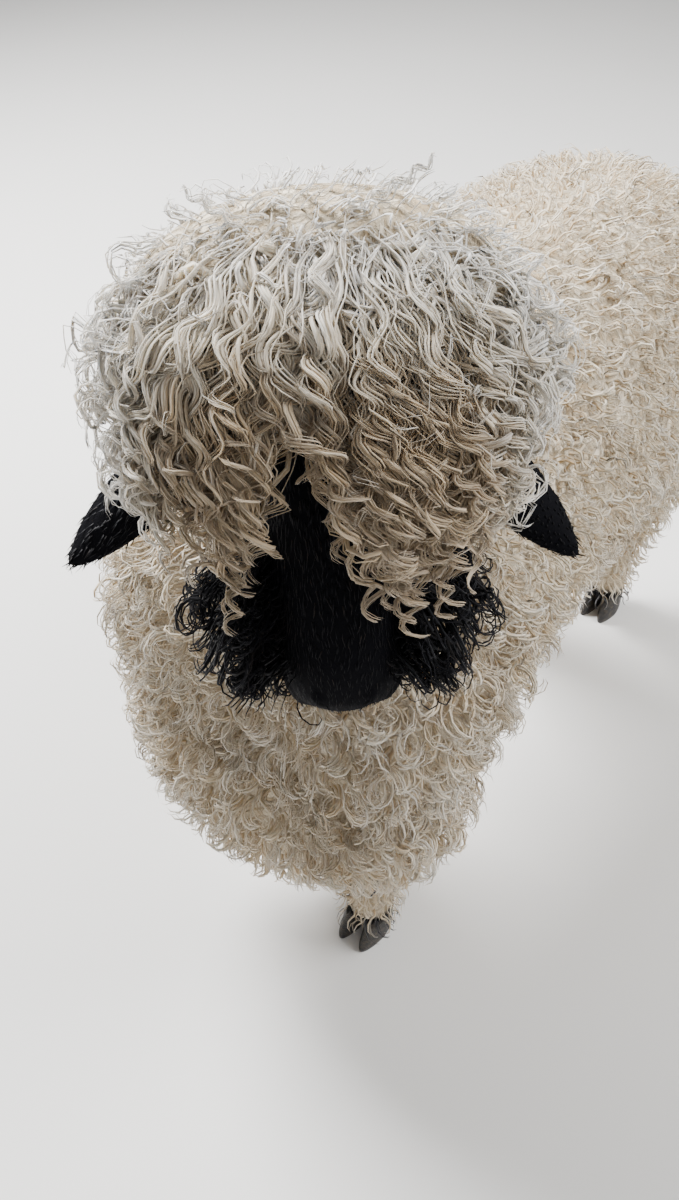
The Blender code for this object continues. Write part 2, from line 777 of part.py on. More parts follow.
def material(name, colour, roughness):
    found = bpy.data.materials.get(name) or bpy.data.materials.new(name)
    found.use_nodes = True
    shader = found.node_tree.nodes["Principled BSDF"]
    shader.inputs["Base Color"].default_value = (*colour, 1)
    shader.inputs["Roughness"].default_value = roughness
    shader.inputs["Metallic"].default_value = 0.0
    return found


def place(item, reference, finish, parent):
    """Puts the node's origin at its reference point, without moving its shape."""
    reference = Vector(reference)
    for vertex in item.data.vertices:
        vertex.co -= reference
    item.location = reference
    item.data.materials.clear()
    item.data.materials.append(material(*finish))
    item.parent = parent


def build():
    for item in list(bpy.data.objects):
        bpy.data.objects.remove(item)
    base = bpy.data.objects.new("sheep", None)
    bpy.context.scene.collection.objects.link(base)

    place(trunk(), (0, 0, TRUNK_STATIONS[5][1]), WOOL, base)
    place(neck(), NECK_FOOT, WOOL, base)
    place(head(), POLL, BLACK_HIDE, base)
    place(tail(), TAIL_PATH[1], WOOL, base)
    for side, word in ((1, "left"), (-1, "right")):
        place(add_object(f"eye_{word}", eyeball(side)), eye_frame(side)[0], EYE, base)
        root = head_point(side * EAR_ROOT[0], EAR_ROOT[1], EAR_ROOT[2])
        place(add_object(f"ear_{word}", ear(side)), root, BLACK_HIDE, base)
    for name, (side, foot) in FEET.items():
        place(leg(name), (side * FOOT_X, leg_line(name, LEG_TOP), LEG_TOP), WOOL, base)
        for inner in (True, False):
            place(claw(name, inner), (side * FOOT_X, foot, 0), HORN, base)

    bpy.context.view_layer.update()
    corners = np.array([base_corner for item in base.children for base_corner in world_corners(item)])
    middle = (corners.min(axis=0) + corners.max(axis=0)) / 2
    base.location = (-middle[0], -middle[1], 0)
    bpy.context.view_layer.update()


def world_corners(item):
    return [tuple(item.matrix_world @ Vector(corner)) for corner in item.bound_box]


build()
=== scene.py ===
# Valais Blacknose sheep: skin, fleece, forelock, black face wool, eyes and hooves, in a pale studio
import math

import bpy
import numpy as np
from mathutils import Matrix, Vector, kdtree


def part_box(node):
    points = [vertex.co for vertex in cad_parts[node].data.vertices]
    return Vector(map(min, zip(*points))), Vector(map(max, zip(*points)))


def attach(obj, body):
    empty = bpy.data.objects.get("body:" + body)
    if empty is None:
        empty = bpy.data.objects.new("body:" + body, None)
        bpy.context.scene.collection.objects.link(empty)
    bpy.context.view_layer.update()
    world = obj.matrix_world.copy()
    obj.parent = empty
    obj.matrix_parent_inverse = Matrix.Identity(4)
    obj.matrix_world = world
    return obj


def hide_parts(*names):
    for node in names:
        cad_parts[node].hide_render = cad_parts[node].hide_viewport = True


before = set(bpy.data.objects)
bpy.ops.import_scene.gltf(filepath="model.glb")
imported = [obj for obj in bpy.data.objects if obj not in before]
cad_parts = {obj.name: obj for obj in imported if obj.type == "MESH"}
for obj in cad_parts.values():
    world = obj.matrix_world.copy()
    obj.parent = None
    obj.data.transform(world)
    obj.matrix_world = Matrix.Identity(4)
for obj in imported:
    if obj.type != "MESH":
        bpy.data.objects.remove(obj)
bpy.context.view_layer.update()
print("frame loaded")

# The animal's own frame: +X its left, it faces -Y, the floor is at 0. The hooves give the way to it.
feet = {  # which side, and how far back
    "front_left": (1, -0.292),
    "front_right": (-1, -0.192),
    "hind_left": (1, 0.322),
    "hind_right": (-1, 0.177),
}
footX = 0.082
clawMiddle = -0.0002  # a claw's box has its middle this far behind the foot's place
hoofNodes = [f"hoof_{leg}_{side}" for leg in feet for side in ("inner", "outer")]
hoofMiddles = np.array([(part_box(node)[0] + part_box(node)[1]) / 2 for node in hoofNodes])
shift = hoofMiddles.mean(axis=0) * (1, 1, 0)
shift[1] -= np.mean([place for _, place in feet.values()]) + clawMiddle


# Helpers on rows of three numbers

def unit(v):
    return v / np.maximum(np.linalg.norm(v, axis=-1, keepdims=True), 1e-9)


def dot(a, b):
    return (a * b).sum(axis=-1, keepdims=True)


# The part of a direction that is square to another
def squareTo(v, way):
    return unit(v - way * dot(v, way))


# Rises evenly from 0 to 1 between two values
def smooth(low, high, value):
    t = np.clip((value - low) / (high - low), 0, 1)
    return t * t * (3 - 2 * t)


# A soft field between -1 and 1, made of a few crossed waves
def waves(points, scale, seed):
    own = np.random.default_rng(seed)
    total = np.zeros(len(points))
    for _ in range(5):
        way = unit(own.normal(size=3)) * own.uniform(0.7, 1.6) * 2 * math.pi / scale
        total += np.sin(points @ way + own.uniform(0, 6.28))
    return total / 2.4


# The head's own axes: across to its left, out of the face, down the face from the poll
poll = np.array((0.057, -0.327, 0.800))
facing = unit(np.array((0.589, -0.808, 0.0)))
faceSlope = math.radians(55)
headTilt = math.radians(3)
zUp = np.array((0.0, 0.0, 1.0))
levelAcross = np.array((-facing[1], facing[0], 0.0))
levelDown = facing * math.cos(faceSlope) - zUp * math.sin(faceSlope)
outOfFace = facing * math.sin(faceSlope) + zUp * math.cos(faceSlope)
downFace = levelDown * math.cos(headTilt) + levelAcross * math.sin(headTilt)
across = levelAcross * math.cos(headTilt) - levelDown * math.sin(headTilt)


def headWay(s, n, f):
    return np.multiply.outer(s, across) + np.multiply.outer(n, outOfFace) + np.multiply.outer(f, downFace)


def headPoint(s, n, f):
    return poll + headWay(s, n, f)


# Across, out and down-the-face places of points
def inHead(points):
    away = points - poll
    return away @ across, away @ outOfFace, away @ downFace


# Mesh making

# A mesh piece from triangles in the animal's frame, with its places on the unwrap and its values
def addMesh(name, points, faces, material, place=None, values=None):
    mesh = bpy.data.meshes.new(name)
    faces = np.asarray(faces, np.int32)
    mesh.vertices.add(len(points))
    mesh.vertices.foreach_set("co", np.asarray(points + shift, np.float32).ravel())
    mesh.loops.add(len(faces) * 3)
    mesh.loops.foreach_set("vertex_index", faces.ravel())
    mesh.polygons.add(len(faces))
    mesh.polygons.foreach_set("loop_start", np.arange(0, len(faces) * 3, 3, dtype=np.int32))
    mesh.polygons.foreach_set("use_smooth", np.ones(len(faces), bool))
    mesh.update(calc_edges=True)
    if place is not None:
        layer = mesh.uv_layers.new(name="OFBake")
        layer.data.foreach_set("uv", place[faces.ravel()].astype(np.float32).ravel())
    for key, value in (values or {}).items():
        mesh.attributes.new(key, "FLOAT", "POINT").data.foreach_set("value", value.astype(np.float32))
    mesh.materials.append(material)
    item = bpy.data.objects.new(name, mesh)
    bpy.context.scene.collection.objects.link(item)
    return item


def ringAt(centre, side, up, halfWidth, halfHeight, sides):
    a = 2 * math.pi * np.arange(sides) / sides
    wide = np.multiply.outer(np.cos(a) * halfWidth, side)
    return centre + wide + np.multiply.outer(np.sin(a) * halfHeight, up)


# A closed skin of triangles through rings of equal count
def loft(rings, start=None, end=None):
    rings = [np.asarray(ring, float) for ring in rings]
    sides = len(rings[0])
    start = rings[0].mean(axis=0) if start is None else start
    end = rings[-1].mean(axis=0) if end is None else end
    points = np.vstack(rings + [start, end])
    i = np.arange(sides)
    j = (i + 1) % sides
    faces = []
    for k in range(len(rings) - 1):
        a, b = k * sides + i, k * sides + j
        faces += [np.stack((a, b, b + sides), 1), np.stack((a, b + sides, a + sides), 1)]
    last = (len(rings) - 1) * sides
    first = np.full(sides, len(points) - 2)
    final = np.full(sides, len(points) - 1)
    faces += [np.stack((j, i, first), 1), np.stack((last + i, last + j, final), 1)]
    faces = np.vstack(faces)
    a, b, c = (points[faces[:, k]] for k in range(3))
    if np.einsum("ij,ij->i", a - points.mean(axis=0), np.cross(b, c)).sum() < 0:
        faces = faces[:, ::-1]
    return points, faces


def ball(centre, radii, axes, sides=32, levels=16):
    rings = []
    for k in range(1, levels):
        a = math.pi * k / levels
        middle = centre - axes[2] * (radii[2] * math.cos(a))
        wide, high = radii[0] * math.sin(a), radii[1] * math.sin(a)
        rings.append(ringAt(middle, axes[0], axes[1], wide, high, sides))
    return loft(rings, centre - axes[2] * radii[2], centre + axes[2] * radii[2])


# A round bar along a path, its radius one number or one for each point
def pipe(path, radius, sides=8):
    path = np.asarray(path, float)
    radius = np.broadcast_to(radius, len(path))
    along = unit(np.gradient(path, axis=0))
    side = unit(np.cross(along[0], (0.31, 0.52, 0.79)))
    rings = []
    for p, t, r in zip(path, along, radius):
        side = squareTo(side, t)
        rings.append(ringAt(p, side, np.cross(t, side), r, r, sides))
    return loft(rings)


def joined(shapes):
    points, faces, count = [], [], 0
    for p, f in shapes:
        points.append(p)
        faces.append(f + count)
        count += len(p)
    return np.vstack(points), np.vstack(faces)


# More stations on a smooth line through a table's rows, the first column its place
def finer(table, count):
    table = np.asarray(table, float)
    place = table[:, 0]
    slope = np.gradient(table, place, axis=0)
    at = np.linspace(place[0], place[-1], count)
    k = np.clip(np.searchsorted(place, at) - 1, 0, len(place) - 2)
    h = (place[k + 1] - place[k])[:, None]
    t = ((at - place[k]) / h[:, 0])[:, None]
    a, b, m, n = table[k], table[k + 1], slope[k] * h, slope[k + 1] * h
    rows = (2 * t**3 - 3 * t**2 + 1) * a + (t**3 - 2 * t**2 + t) * m
    rows = rows + (3 * t**2 - 2 * t**3) * b + (t**3 - t**2) * n
    rows[:, 0] = at
    return rows


def plainObject(shape):
    return addMesh("shape", shape[0] - shift, shape[1], bpy.data.materials[0])


# What an object's modifiers make of it, as points and triangles, with the object removed
def evaluated(item):
    graph = bpy.context.evaluated_depsgraph_get()
    mesh = bpy.data.meshes.new_from_object(item.evaluated_get(graph))
    mesh.calc_loop_triangles()
    points = np.empty(len(mesh.vertices) * 3, np.float32)
    mesh.vertices.foreach_get("co", points)
    faces = np.empty(len(mesh.loop_triangles) * 3, np.int32)
    mesh.loop_triangles.foreach_get("vertices", faces)
    bpy.data.objects.remove(item)
    return points.reshape(-1, 3).astype(float), faces.reshape(-1, 3)


# One smooth closed surface round overlapping closed shapes
def remeshed(shapes, voxel, rounds):
    item = plainObject(joined(shapes))
    remesh = item.modifiers.new("remesh", "REMESH")
    remesh.mode = "VOXEL"
    remesh.voxel_size = voxel
    relax = item.modifiers.new("relax", "SMOOTH")
    relax.factor = 0.5
    relax.iterations = rounds
    return evaluated(item)


def boolean(shape, operation, others):
    item = plainObject(shape)
    group = bpy.data.collections.new("others")
    bpy.context.scene.collection.children.link(group)
    tools = [plainObject(other) for other in others]
    for tool in tools:
        bpy.context.scene.collection.objects.unlink(tool)
        group.objects.link(tool)
    modifier = item.modifiers.new("cut", "BOOLEAN")
    modifier.operation = operation
    modifier.operand_type = "COLLECTION"
    modifier.collection = group
    modifier.solver = "MANIFOLD"
    result = evaluated(item)
    for tool in tools:
        bpy.data.objects.remove(tool)
    bpy.data.collections.remove(group)
    return result


def cornerNormals(points, faces):
    a, b, c = (points[faces[:, k]] for k in range(3))
    normal = np.cross(b - a, c - a)
    total = np.zeros_like(points)
    for k in range(3):
        np.add.at(total, faces[:, k], normal)
    return unit(total)


# Materials

def newMaterial(name, surface):
    material = bpy.data.materials.new(name)
    material.use_nodes = True
    tree = material.node_tree
    shader = tree.nodes["Principled BSDF"]
    for key, value in surface.items():
        shader.inputs[key].default_value = value
    return material, tree, shader


def node(tree, kind, **settings):
    made = tree.nodes.new(kind)
    for key, value in settings.items():
        if key in made.inputs:
            made.inputs[key].default_value = value
        else:
            setattr(made, key, value)
    return made


# Gives a socket a value, or links another socket to it
def feed(tree, socket, value):
    if isinstance(value, bpy.types.NodeSocket):
        tree.links.new(value, socket)
    else:
        socket.default_value = value


def attribute(tree, name):
    return node(tree, "ShaderNodeAttribute", attribute_name=name).outputs["Fac"]


# A texture laid through the whole animal
def texture(tree, kind, **settings):
    made = node(tree, kind, **settings)
    tree.links.new(node(tree, "ShaderNodeTexCoord").outputs["Object"], made.inputs["Vector"])
    return made.outputs["Fac"]


def ramp(tree, share, *stops):
    made = tree.nodes.new("ShaderNodeValToRGB")
    elements = made.color_ramp.elements
    while len(elements) < len(stops):
        elements.new(0.5)
    for element, (place, colour) in zip(elements, stops):
        element.position = place
        element.color = (*colour, 1)
    tree.links.new(share, made.inputs["Fac"])
    return made.outputs["Color"]


# A share that runs evenly from one value to another between two places
def slope(tree, share, low, high, first=0, last=1):
    return ramp(tree, share, (low, (first,) * 3), (high, (last,) * 3))


# Mixes two colours, each a socket or a plain colour
def mixColours(tree, share, first, second):
    mix = tree.nodes.new("ShaderNodeMix")
    mix.data_type = "RGBA"
    tree.links.new(share, mix.inputs[0])
    for socket, colour in ((mix.inputs[6], first), (mix.inputs[7], second)):
        feed(tree, socket, (*colour, 1) if isinstance(colour, tuple) else colour)
    return mix.outputs[2]


def maths(tree, operation, *values):
    made = node(tree, "ShaderNodeMath", operation=operation)
    for socket, value in zip(made.inputs, values):
        feed(tree, socket, value)
    return made.outputs[0]


def bump(tree, height, strength, distance, under=None):
    made = node(tree, "ShaderNodeBump", Strength=strength, Distance=distance)
    tree.links.new(height, made.inputs["Height"])
    if under:
        tree.links.new(under, made.inputs["Normal"])
    return made.outputs["Normal"]


# A height that waves round a strand, so that it reads as a few fibres laid together
def fibreStripes(tree, count):
    turned = maths(tree, "MULTIPLY", attribute(tree, "turn"), 2 * math.pi * count)
    return maths(tree, "MULTIPLY_ADD", maths(tree, "SINE", turned), 0.5, 0.5)


woolFinish = {
    # root and middle: painted shade deep in the coat, lighter toward the tip
    "root": (0.62, 0.47, 0.30),
    "middle": (0.84, 0.72, 0.54),
    "tip": (0.94, 0.88, 0.76),
    "black": (0.010, 0.010, 0.013),
    "fibres": 4,
    # tints, with the places where each starts and ends and its share at both
    "warm": (0.82, 0.67, 0.46), "warmShare": (0.38, 0.75, 0, 0.55),
    "honey": (0.50, 0.33, 0.17), "honeyShare": (0.0, 0.4, 0.85, 0),
    "pale": (0.98, 0.97, 0.94), "paleShare": (0.5, 1.0, 0, 0.95),
    # gap: painted shade, a darker brown in the grooves between the fibre stripes
    "gap": (0.62, 0.49, 0.33), "gapShare": (0.0, 0.5, 0.35, 0),
    "surface": {
        "Roughness": 0.75, "Sheen Weight": 0.2, "Sheen Roughness": 0.5,
        "Subsurface Weight": 0.35, "Subsurface Scale": 0.004, "Subsurface Radius": (1.0, 0.8, 0.6),
    },
}


# Cream wool, darker and warmer toward the root as painted shade deep in the coat, with black where the coat
# is marked
def woolMaterial():
    look = woolFinish
    material, tree, shader = newMaterial("creamWool", look["surface"])
    along, tone, dark = (attribute(tree, name) for name in ("along", "tone", "dark"))
    patches = texture(tree, "ShaderNodeTexNoise", Scale=9.0, Detail=3.0)
    stripes = fibreStripes(tree, look["fibres"])
    # the root-to-tip ramp is painted shade: darkest where a strand leaves the skin
    colour = ramp(tree, along, (0.0, look["root"]), (0.45, look["middle"]), (1.0, look["tip"]))
    for tint, share in (("warm", patches), ("honey", tone), ("pale", tone), ("gap", stripes)):
        colour = mixColours(tree, slope(tree, share, *look[tint + "Share"]), colour, look[tint])
    tree.links.new(mixColours(tree, dark, colour, look["black"]), shader.inputs["Base Color"])
    tree.links.new(bump(tree, stripes, 0.5, 0.0004), shader.inputs["Normal"])
    return material


blackFinish = {
    "root": (0.003, 0.003, 0.004),
    "tip": (0.007, 0.007, 0.010),
    "faded": (0.035, 0.028, 0.024), "fadedShare": (0.7, 1.0, 0, 0.8),
    "grey": (0.30, 0.27, 0.24), "greyShare": (0.0, 1.0, 1, 0),
    "surface": {
        "Roughness": 0.6, "Sheen Weight": 0.02, "Sheen Roughness": 0.4, "Specular IOR Level": 0.14,
    },
}


# Black wool and hair, a little brown and grey where it meets the cream
def blackMaterial():
    look = blackFinish
    material, tree, shader = newMaterial("blackWool", look["surface"])
    colour = ramp(tree, attribute(tree, "along"), (0.0, look["root"]), (1.0, look["tip"]))
    for tint, value in (("faded", "tone"), ("grey", "dark")):
        share = slope(tree, attribute(tree, value), *look[tint + "Share"])
        colour = mixColours(tree, share, colour, look[tint])
    tree.links.new(colour, shader.inputs["Base Color"])
    return material


skinFinish = {
    "cream": (0.84, 0.74, 0.58),
    "creamHollowShade": (0.56, 0.44, 0.29),
    "black": (0.002, 0.002, 0.003),
    "blackWorn": (0.005, 0.005, 0.007),
    "surface": {"Roughness": 0.8, "Specular IOR Level": 0.05},
}


# Skin under the wool, darker in the hollows of its tufts as painted shade, and the short velvet hair of the
# face
def skinMaterial():
    look = skinFinish
    material, tree, shader = newMaterial("skin", look["surface"])
    dark = attribute(tree, "dark")
    tufted = texture(tree, "ShaderNodeTexNoise", Scale=85.0, Detail=6.0, Distortion=1.6)
    hair = texture(tree, "ShaderNodeTexNoise", Scale=900.0, Detail=3.0, Roughness=0.7)
    # the tufts' hollows take the darker cream: painted shade deep in the fleece
    depth = slope(tree, tufted, 0.36, 0.62)
    cream = mixColours(tree, depth, look["creamHollowShade"], look["cream"])
    black = mixColours(tree, hair, look["black"], look["blackWorn"])
    tree.links.new(mixColours(tree, dark, cream, black), shader.inputs["Base Color"])
    coarse = bump(tree, mixColours(tree, dark, depth, (0.5, 0.5, 0.5)), 0.9, 0.005)
    tree.links.new(bump(tree, hair, 0.5, 0.0008, coarse), shader.inputs["Normal"])
    return material


# Black hoof horn with growth lines, dusty near the floor
def hornMaterial():
    material, tree, shader = newMaterial("hoofHorn", {"Roughness": 0.48})
    lines = texture(tree, "ShaderNodeTexWave", bands_direction="Z", Scale=130.0, Distortion=1.5)
    dust = texture(tree, "ShaderNodeTexNoise", Scale=160.0, Detail=5.0)
    worn = ramp(tree, dust, (0.45, (0.012, 0.011, 0.011)), (0.8, (0.085, 0.066, 0.046)))
    tree.links.new(worn, shader.inputs["Base Color"])
    tree.links.new(bump(tree, lines, 0.35, 0.0006), shader.inputs["Normal"])
    return material


# Dark amber iris with a level slot for a pupil, under a wet surface
def eyeMaterial():
    material, tree, shader = newMaterial("eyeball", {"Roughness": 0.06, "Coat Weight": 0.6})
    pupil = ((0.0, (0.002, 0.002, 0.003)), (0.28, (0.003, 0.003, 0.004)))
    iris = ((0.34, (0.10, 0.055, 0.020)), (0.72, (0.19, 0.115, 0.045)))
    rim = ((0.80, (0.012, 0.008, 0.006)), (1.0, (0.035, 0.024, 0.020)))
    tree.links.new(ramp(tree, attribute(tree, "zone"), *pupil, *iris, *rim), shader.inputs["Base Color"])
    return material


coatMaterials = {"wool": woolMaterial(), "black_hide": blackMaterial()}  # for each slot
hide, horn, eyeWet = skinMaterial(), hornMaterial(), eyeMaterial()
print("materials made")

# Flesh under the coat

trunkShape = {
    # y, centre height, half width, half height
    "stations": (
        (-0.374, 0.415, 0.075, 0.085),
        (-0.354, 0.425, 0.134, 0.135),
        (-0.315, 0.440, 0.160, 0.165),
        (-0.250, 0.461, 0.166, 0.168),
        (-0.150, 0.480, 0.162, 0.166),
        (0.000, 0.492, 0.162, 0.162),
        (0.150, 0.497, 0.163, 0.157),
        (0.250, 0.495, 0.157, 0.147),
        (0.320, 0.489, 0.136, 0.126),
        (0.362, 0.482, 0.098, 0.093),
        (0.382, 0.476, 0.055, 0.050),
    ),
    "brisketMiddle": (-0.004, -0.290, 0.298),
    "brisketRadii": (0.154, 0.096, 0.130),
    # centre, direction, half width, half height
    "neck": (
        ((0.000, -0.165, 0.470), (0.00, -0.35, 0.94), 0.130, 0.130),
        ((0.004, -0.212, 0.575), (0.05, -0.50, 0.86), 0.118, 0.118),
        ((0.016, -0.250, 0.655), (0.25, -0.65, 0.70), 0.100, 0.096),
        ((0.034, -0.276, 0.704), (0.50, -0.75, 0.40), 0.086, 0.083),
        ((0.058, -0.312, 0.718), (0.58, -0.80, 0.10), 0.072, 0.074),
    ),
    # centre, radius
    "tail": (
        ((0.0, 0.335, 0.585), 0.020),
        ((0.0, 0.385, 0.580), 0.024),
        ((0.0, 0.418, 0.545), 0.027),
        ((0.0, 0.430, 0.480), 0.028),
        ((0.0, 0.428, 0.400), 0.025),
        ((0.0, 0.420, 0.345), 0.014),
    ),
    "underwool": 0.013,
    "cushion": ((0.0, -0.014, 0.012), (0.116, 0.069, 0.064)),  # place and radii of the crown's underwool
    "voxel": 0.0085,
}
xAxis, yAxis, zAxis = np.eye(3)


def trunkSolids():
    shape = trunkShape
    more = shape["underwool"]
    rings = [ringAt((0, y, z), xAxis, zAxis, w + more, h + more, 40) for y, z, w, h in shape["stations"]]
    brisketRadii = np.array(shape["brisketRadii"]) + more
    brisket = ball(np.array(shape["brisketMiddle"]), brisketRadii, (xAxis, yAxis, zAxis))
    neckRings = []
    for centre, way, halfWidth, halfHeight in shape["neck"]:
        way = unit(np.array(way))
        side = unit(np.cross(way, zAxis))
        up = np.cross(side, way)
        wide, high = halfWidth + more / 2, halfHeight + more / 2
        neckRings.append(ringAt(np.array(centre), side, up, wide, high, 32))
    tail = pipe([p for p, _ in shape["tail"]], [r for _, r in shape["tail"]], 16)
    place, radii = shape["cushion"]
    cushion = ball(headPoint(*place), radii, (across, downFace, outOfFace))
    return [loft(rings), brisket, loft(neckRings), tail, cushion]


legShape = {
    # how far back, and height
    "shoulder": (-0.215, 0.42),
    "hip": (0.235, 0.44),
    "hoofTop": 0.036,
    # height, half width, half depth
    "stations": (
        (0.36, 0.068, 0.078),
        (0.305, 0.060, 0.066),
        (0.240, 0.050, 0.055),
        (0.200, 0.042, 0.046),
        (0.165, 0.036, 0.038),
        (0.130, 0.028, 0.029),
        (0.100, 0.023, 0.025),
        (0.075, 0.024, 0.027),
        (0.050, 0.024, 0.027),
        (0.030, 0.022, 0.025),
    ),
    "topHalves": (0.066, 0.082),
    # for each end: how far aside, beside which height of the leg's line, how far behind it, height, radius
    "toe": ((0.0120, 0.07, 0.0, 0.070, 0.015), (0.0138, 0.03, -0.004, 0.030, 0.0135)),
    "dewclaw": ((0.013, 0.07, 0.022, 0.066, 0.007), (0.013, 0.07, 0.034, 0.054, 0.004)),
}


# How far forward or back a leg is at a height
def legLine(leg, height):
    foot = feet[leg][1]
    top = legShape["hoofTop"]
    shoulder, hip = legShape["shoulder"], legShape["hip"]
    if leg.startswith("front"):
        elbow = shoulder[0] + 0.66 * (foot - shoulder[0])
        knots = ((top, foot + 0.006), (0.075, foot + 0.013), (0.200, elbow), shoulder[::-1])
    else:
        stifle = hip[0] - 0.012 + 0.35 * (foot - hip[0])
        knots = ((top, foot + 0.006), (0.075, foot + 0.008), (0.205, foot + 0.024), (0.340, stifle))
        knots += (hip[::-1],)
    return np.interp(height, *zip(*knots))


def legSolids():
    solids = []
    for leg, (side, _) in feet.items():
        top = legShape["hip"] if leg.startswith("hind") else legShape["shoulder"]
        stations = ((top[1], *legShape["topHalves"]),) + legShape["stations"]
        middles = [(side * footX, legLine(leg, z), z) for z, _, _ in stations]
        solids.append(loft([ringAt(m, xAxis, yAxis, w, d, 24) for m, (_, w, d) in zip(middles, stations)]))
        for toe in (1, -1):  # the pastern's two toes and the dewclaws behind them
            for key, sides in (("toe", 12), ("dewclaw", 10)):
                ends = legShape[key]
                path = [(side * footX + toe * s, legLine(leg, at) + back, z) for s, at, back, z, _ in ends]
                solids.append(pipe(path, [end[-1] for end in ends], sides))
    return solids


headShape = {
    # down the face, upper line, lower line, half width
    "skull": (
        (-0.022, -0.022, -0.062, 0.026),
        (-0.008, -0.002, -0.080, 0.044),
        (0.020, 0.014, -0.096, 0.054),
        (0.055, 0.022, -0.105, 0.058),
        (0.088, 0.024, -0.106, 0.056),
        (0.122, 0.022, -0.096, 0.047),
        (0.162, 0.017, -0.080, 0.040),
        (0.201, 0.010, -0.066, 0.036),
        (0.225, 0.003, -0.060, 0.036),
        (0.240, -0.005, -0.057, 0.0320),
        (0.248, -0.011, -0.053, 0.0250),
        (0.253, -0.019, -0.047, 0.0140),
    ),
    "muzzleEnd": 0.252,
    # how far back from the muzzle's end the mouth's corner and the points before it lie
    "mouth": (0.071, 0.062, 0.053, 0.044, 0.035, 0.027, 0.019, 0.012, 0.006),
    "eye": (0.0445, -0.010, 0.080),  # across, out of and down the face
    "eyeRadius": 0.0135,
    "lidThickness": 0.0022,
    "opening": (0.0120, 0.0080),
    "cheek": ((0.038, -0.042, 0.168), (0.026, 0.028, 0.042)),
    # across, out and back from the muzzle's end, then radii
    "nostrilRim": ((0.0130, -0.014, 0.014), (0.0098, 0.0068, 0.0090)),
    "nostrilHole": ((0.0140, -0.013, 0.004), (0.0075, 0.0028, 0.0090)),
    "nostrilWays": ((0.55, 0.75, -0.15), (0.45, 0.15, 0.88)),  # along the slit, and into it
    "lips": ((0.0040, 0.0044), (-0.0042, 0.0040)),  # how far over the mouth line, and radius
    "mouthCut": 0.0013,
    "lipGroove": (-0.033, -0.014),  # its lower and upper end
    "grooveCut": 0.0012,
    "earRoot": (0.050, -0.030, 0.046),
    "earTips": {1: (0.151, -0.038, 0.166), -1: (-0.167, -0.038, 0.153)},
    "earHalfWidth": 0.0215,
    "earThickness": 0.0036,
    "earCup": 0.0085,
    # share of the ear's length, then of its width and cup there
    "earProfile": (
        (-0.06, 0.46, 0.2), (0.12, 0.62, 0.5), (0.30, 0.92, 0.9), (0.50, 1.00, 0.9),
        (0.70, 0.88, 0.7), (0.87, 0.58, 0.4), (0.975, 0.22, 0.2),
    ),
    "voxel": 0.0022,
}
skullTable = finer(headShape["skull"], 40)


# Upper line, lower line and half width of the skull at places down the face
def skullAt(f):
    return (np.interp(f, skullTable[:, 0], skullTable[:, k]) for k in (1, 2, 3))


# A point on the flank of the skull
def skullSide(f, n, side):
    upper, lower, half = skullAt(f)
    height = (n - (upper + lower) / 2) / ((upper - lower) / 2)
    return headPoint(side * half * np.sqrt(np.maximum(0, 1 - height * height)), n, f)


def eyeAxes(side):
    s, n, f = headShape["eye"]
    out = unit(headWay(side * 0.93, 0.30, 0.20))
    along = squareTo(downFace, out)
    return headPoint(side * s, n, f), (along, np.cross(out, along), out)


def mouthPath(lift):
    end = headShape["muzzleEnd"]
    back = np.array(headShape["mouth"])
    height = -0.036 - 0.06 * back + lift
    left = skullSide(end - back, height, 1)
    right = skullSide(end - back, height, -1)
    middle = headPoint(0.0, -0.0355 + lift, end + 0.0005)
    return np.vstack((left, middle, right[::-1]))


# Root and tip of an ear
def earEnds(side):
    root = headPoint(side * headShape["earRoot"][0], *headShape["earRoot"][1:])
    return root, headPoint(*headShape["earTips"][side])


# A leaf-shaped ear, cupped on its lower side
def earShape(side):
    root, tip = earEnds(side)
    along = unit(tip - root)
    back = headWay(side * 0.10, 0.92, -0.36)
    back = squareTo(back, along)
    wide = np.cross(along, back)
    u = np.linspace(-1, 1, 13)
    rings = []
    for t, width, cup in finer(headShape["earProfile"], 22):
        middle = root + (tip - root) * t + outOfFace * (0.010 * math.sin(math.pi * max(t, 0)))
        thick = headShape["earThickness"] / 2 * (1.9 - 0.9 * min(1.0, max(t, 0) / 0.3))
        half = headShape["earHalfWidth"] * width
        ring = []
        for face, way in ((1, u), (-1, u[::-1])):
            rise = face * thick * (1 - 0.6 * way**2) - headShape["earCup"] * cup * way**2
            ring.append(middle + np.outer(half * way, wide) + np.outer(rise, back))
        rings.append(np.vstack(ring))
    return loft(rings, end=tip)


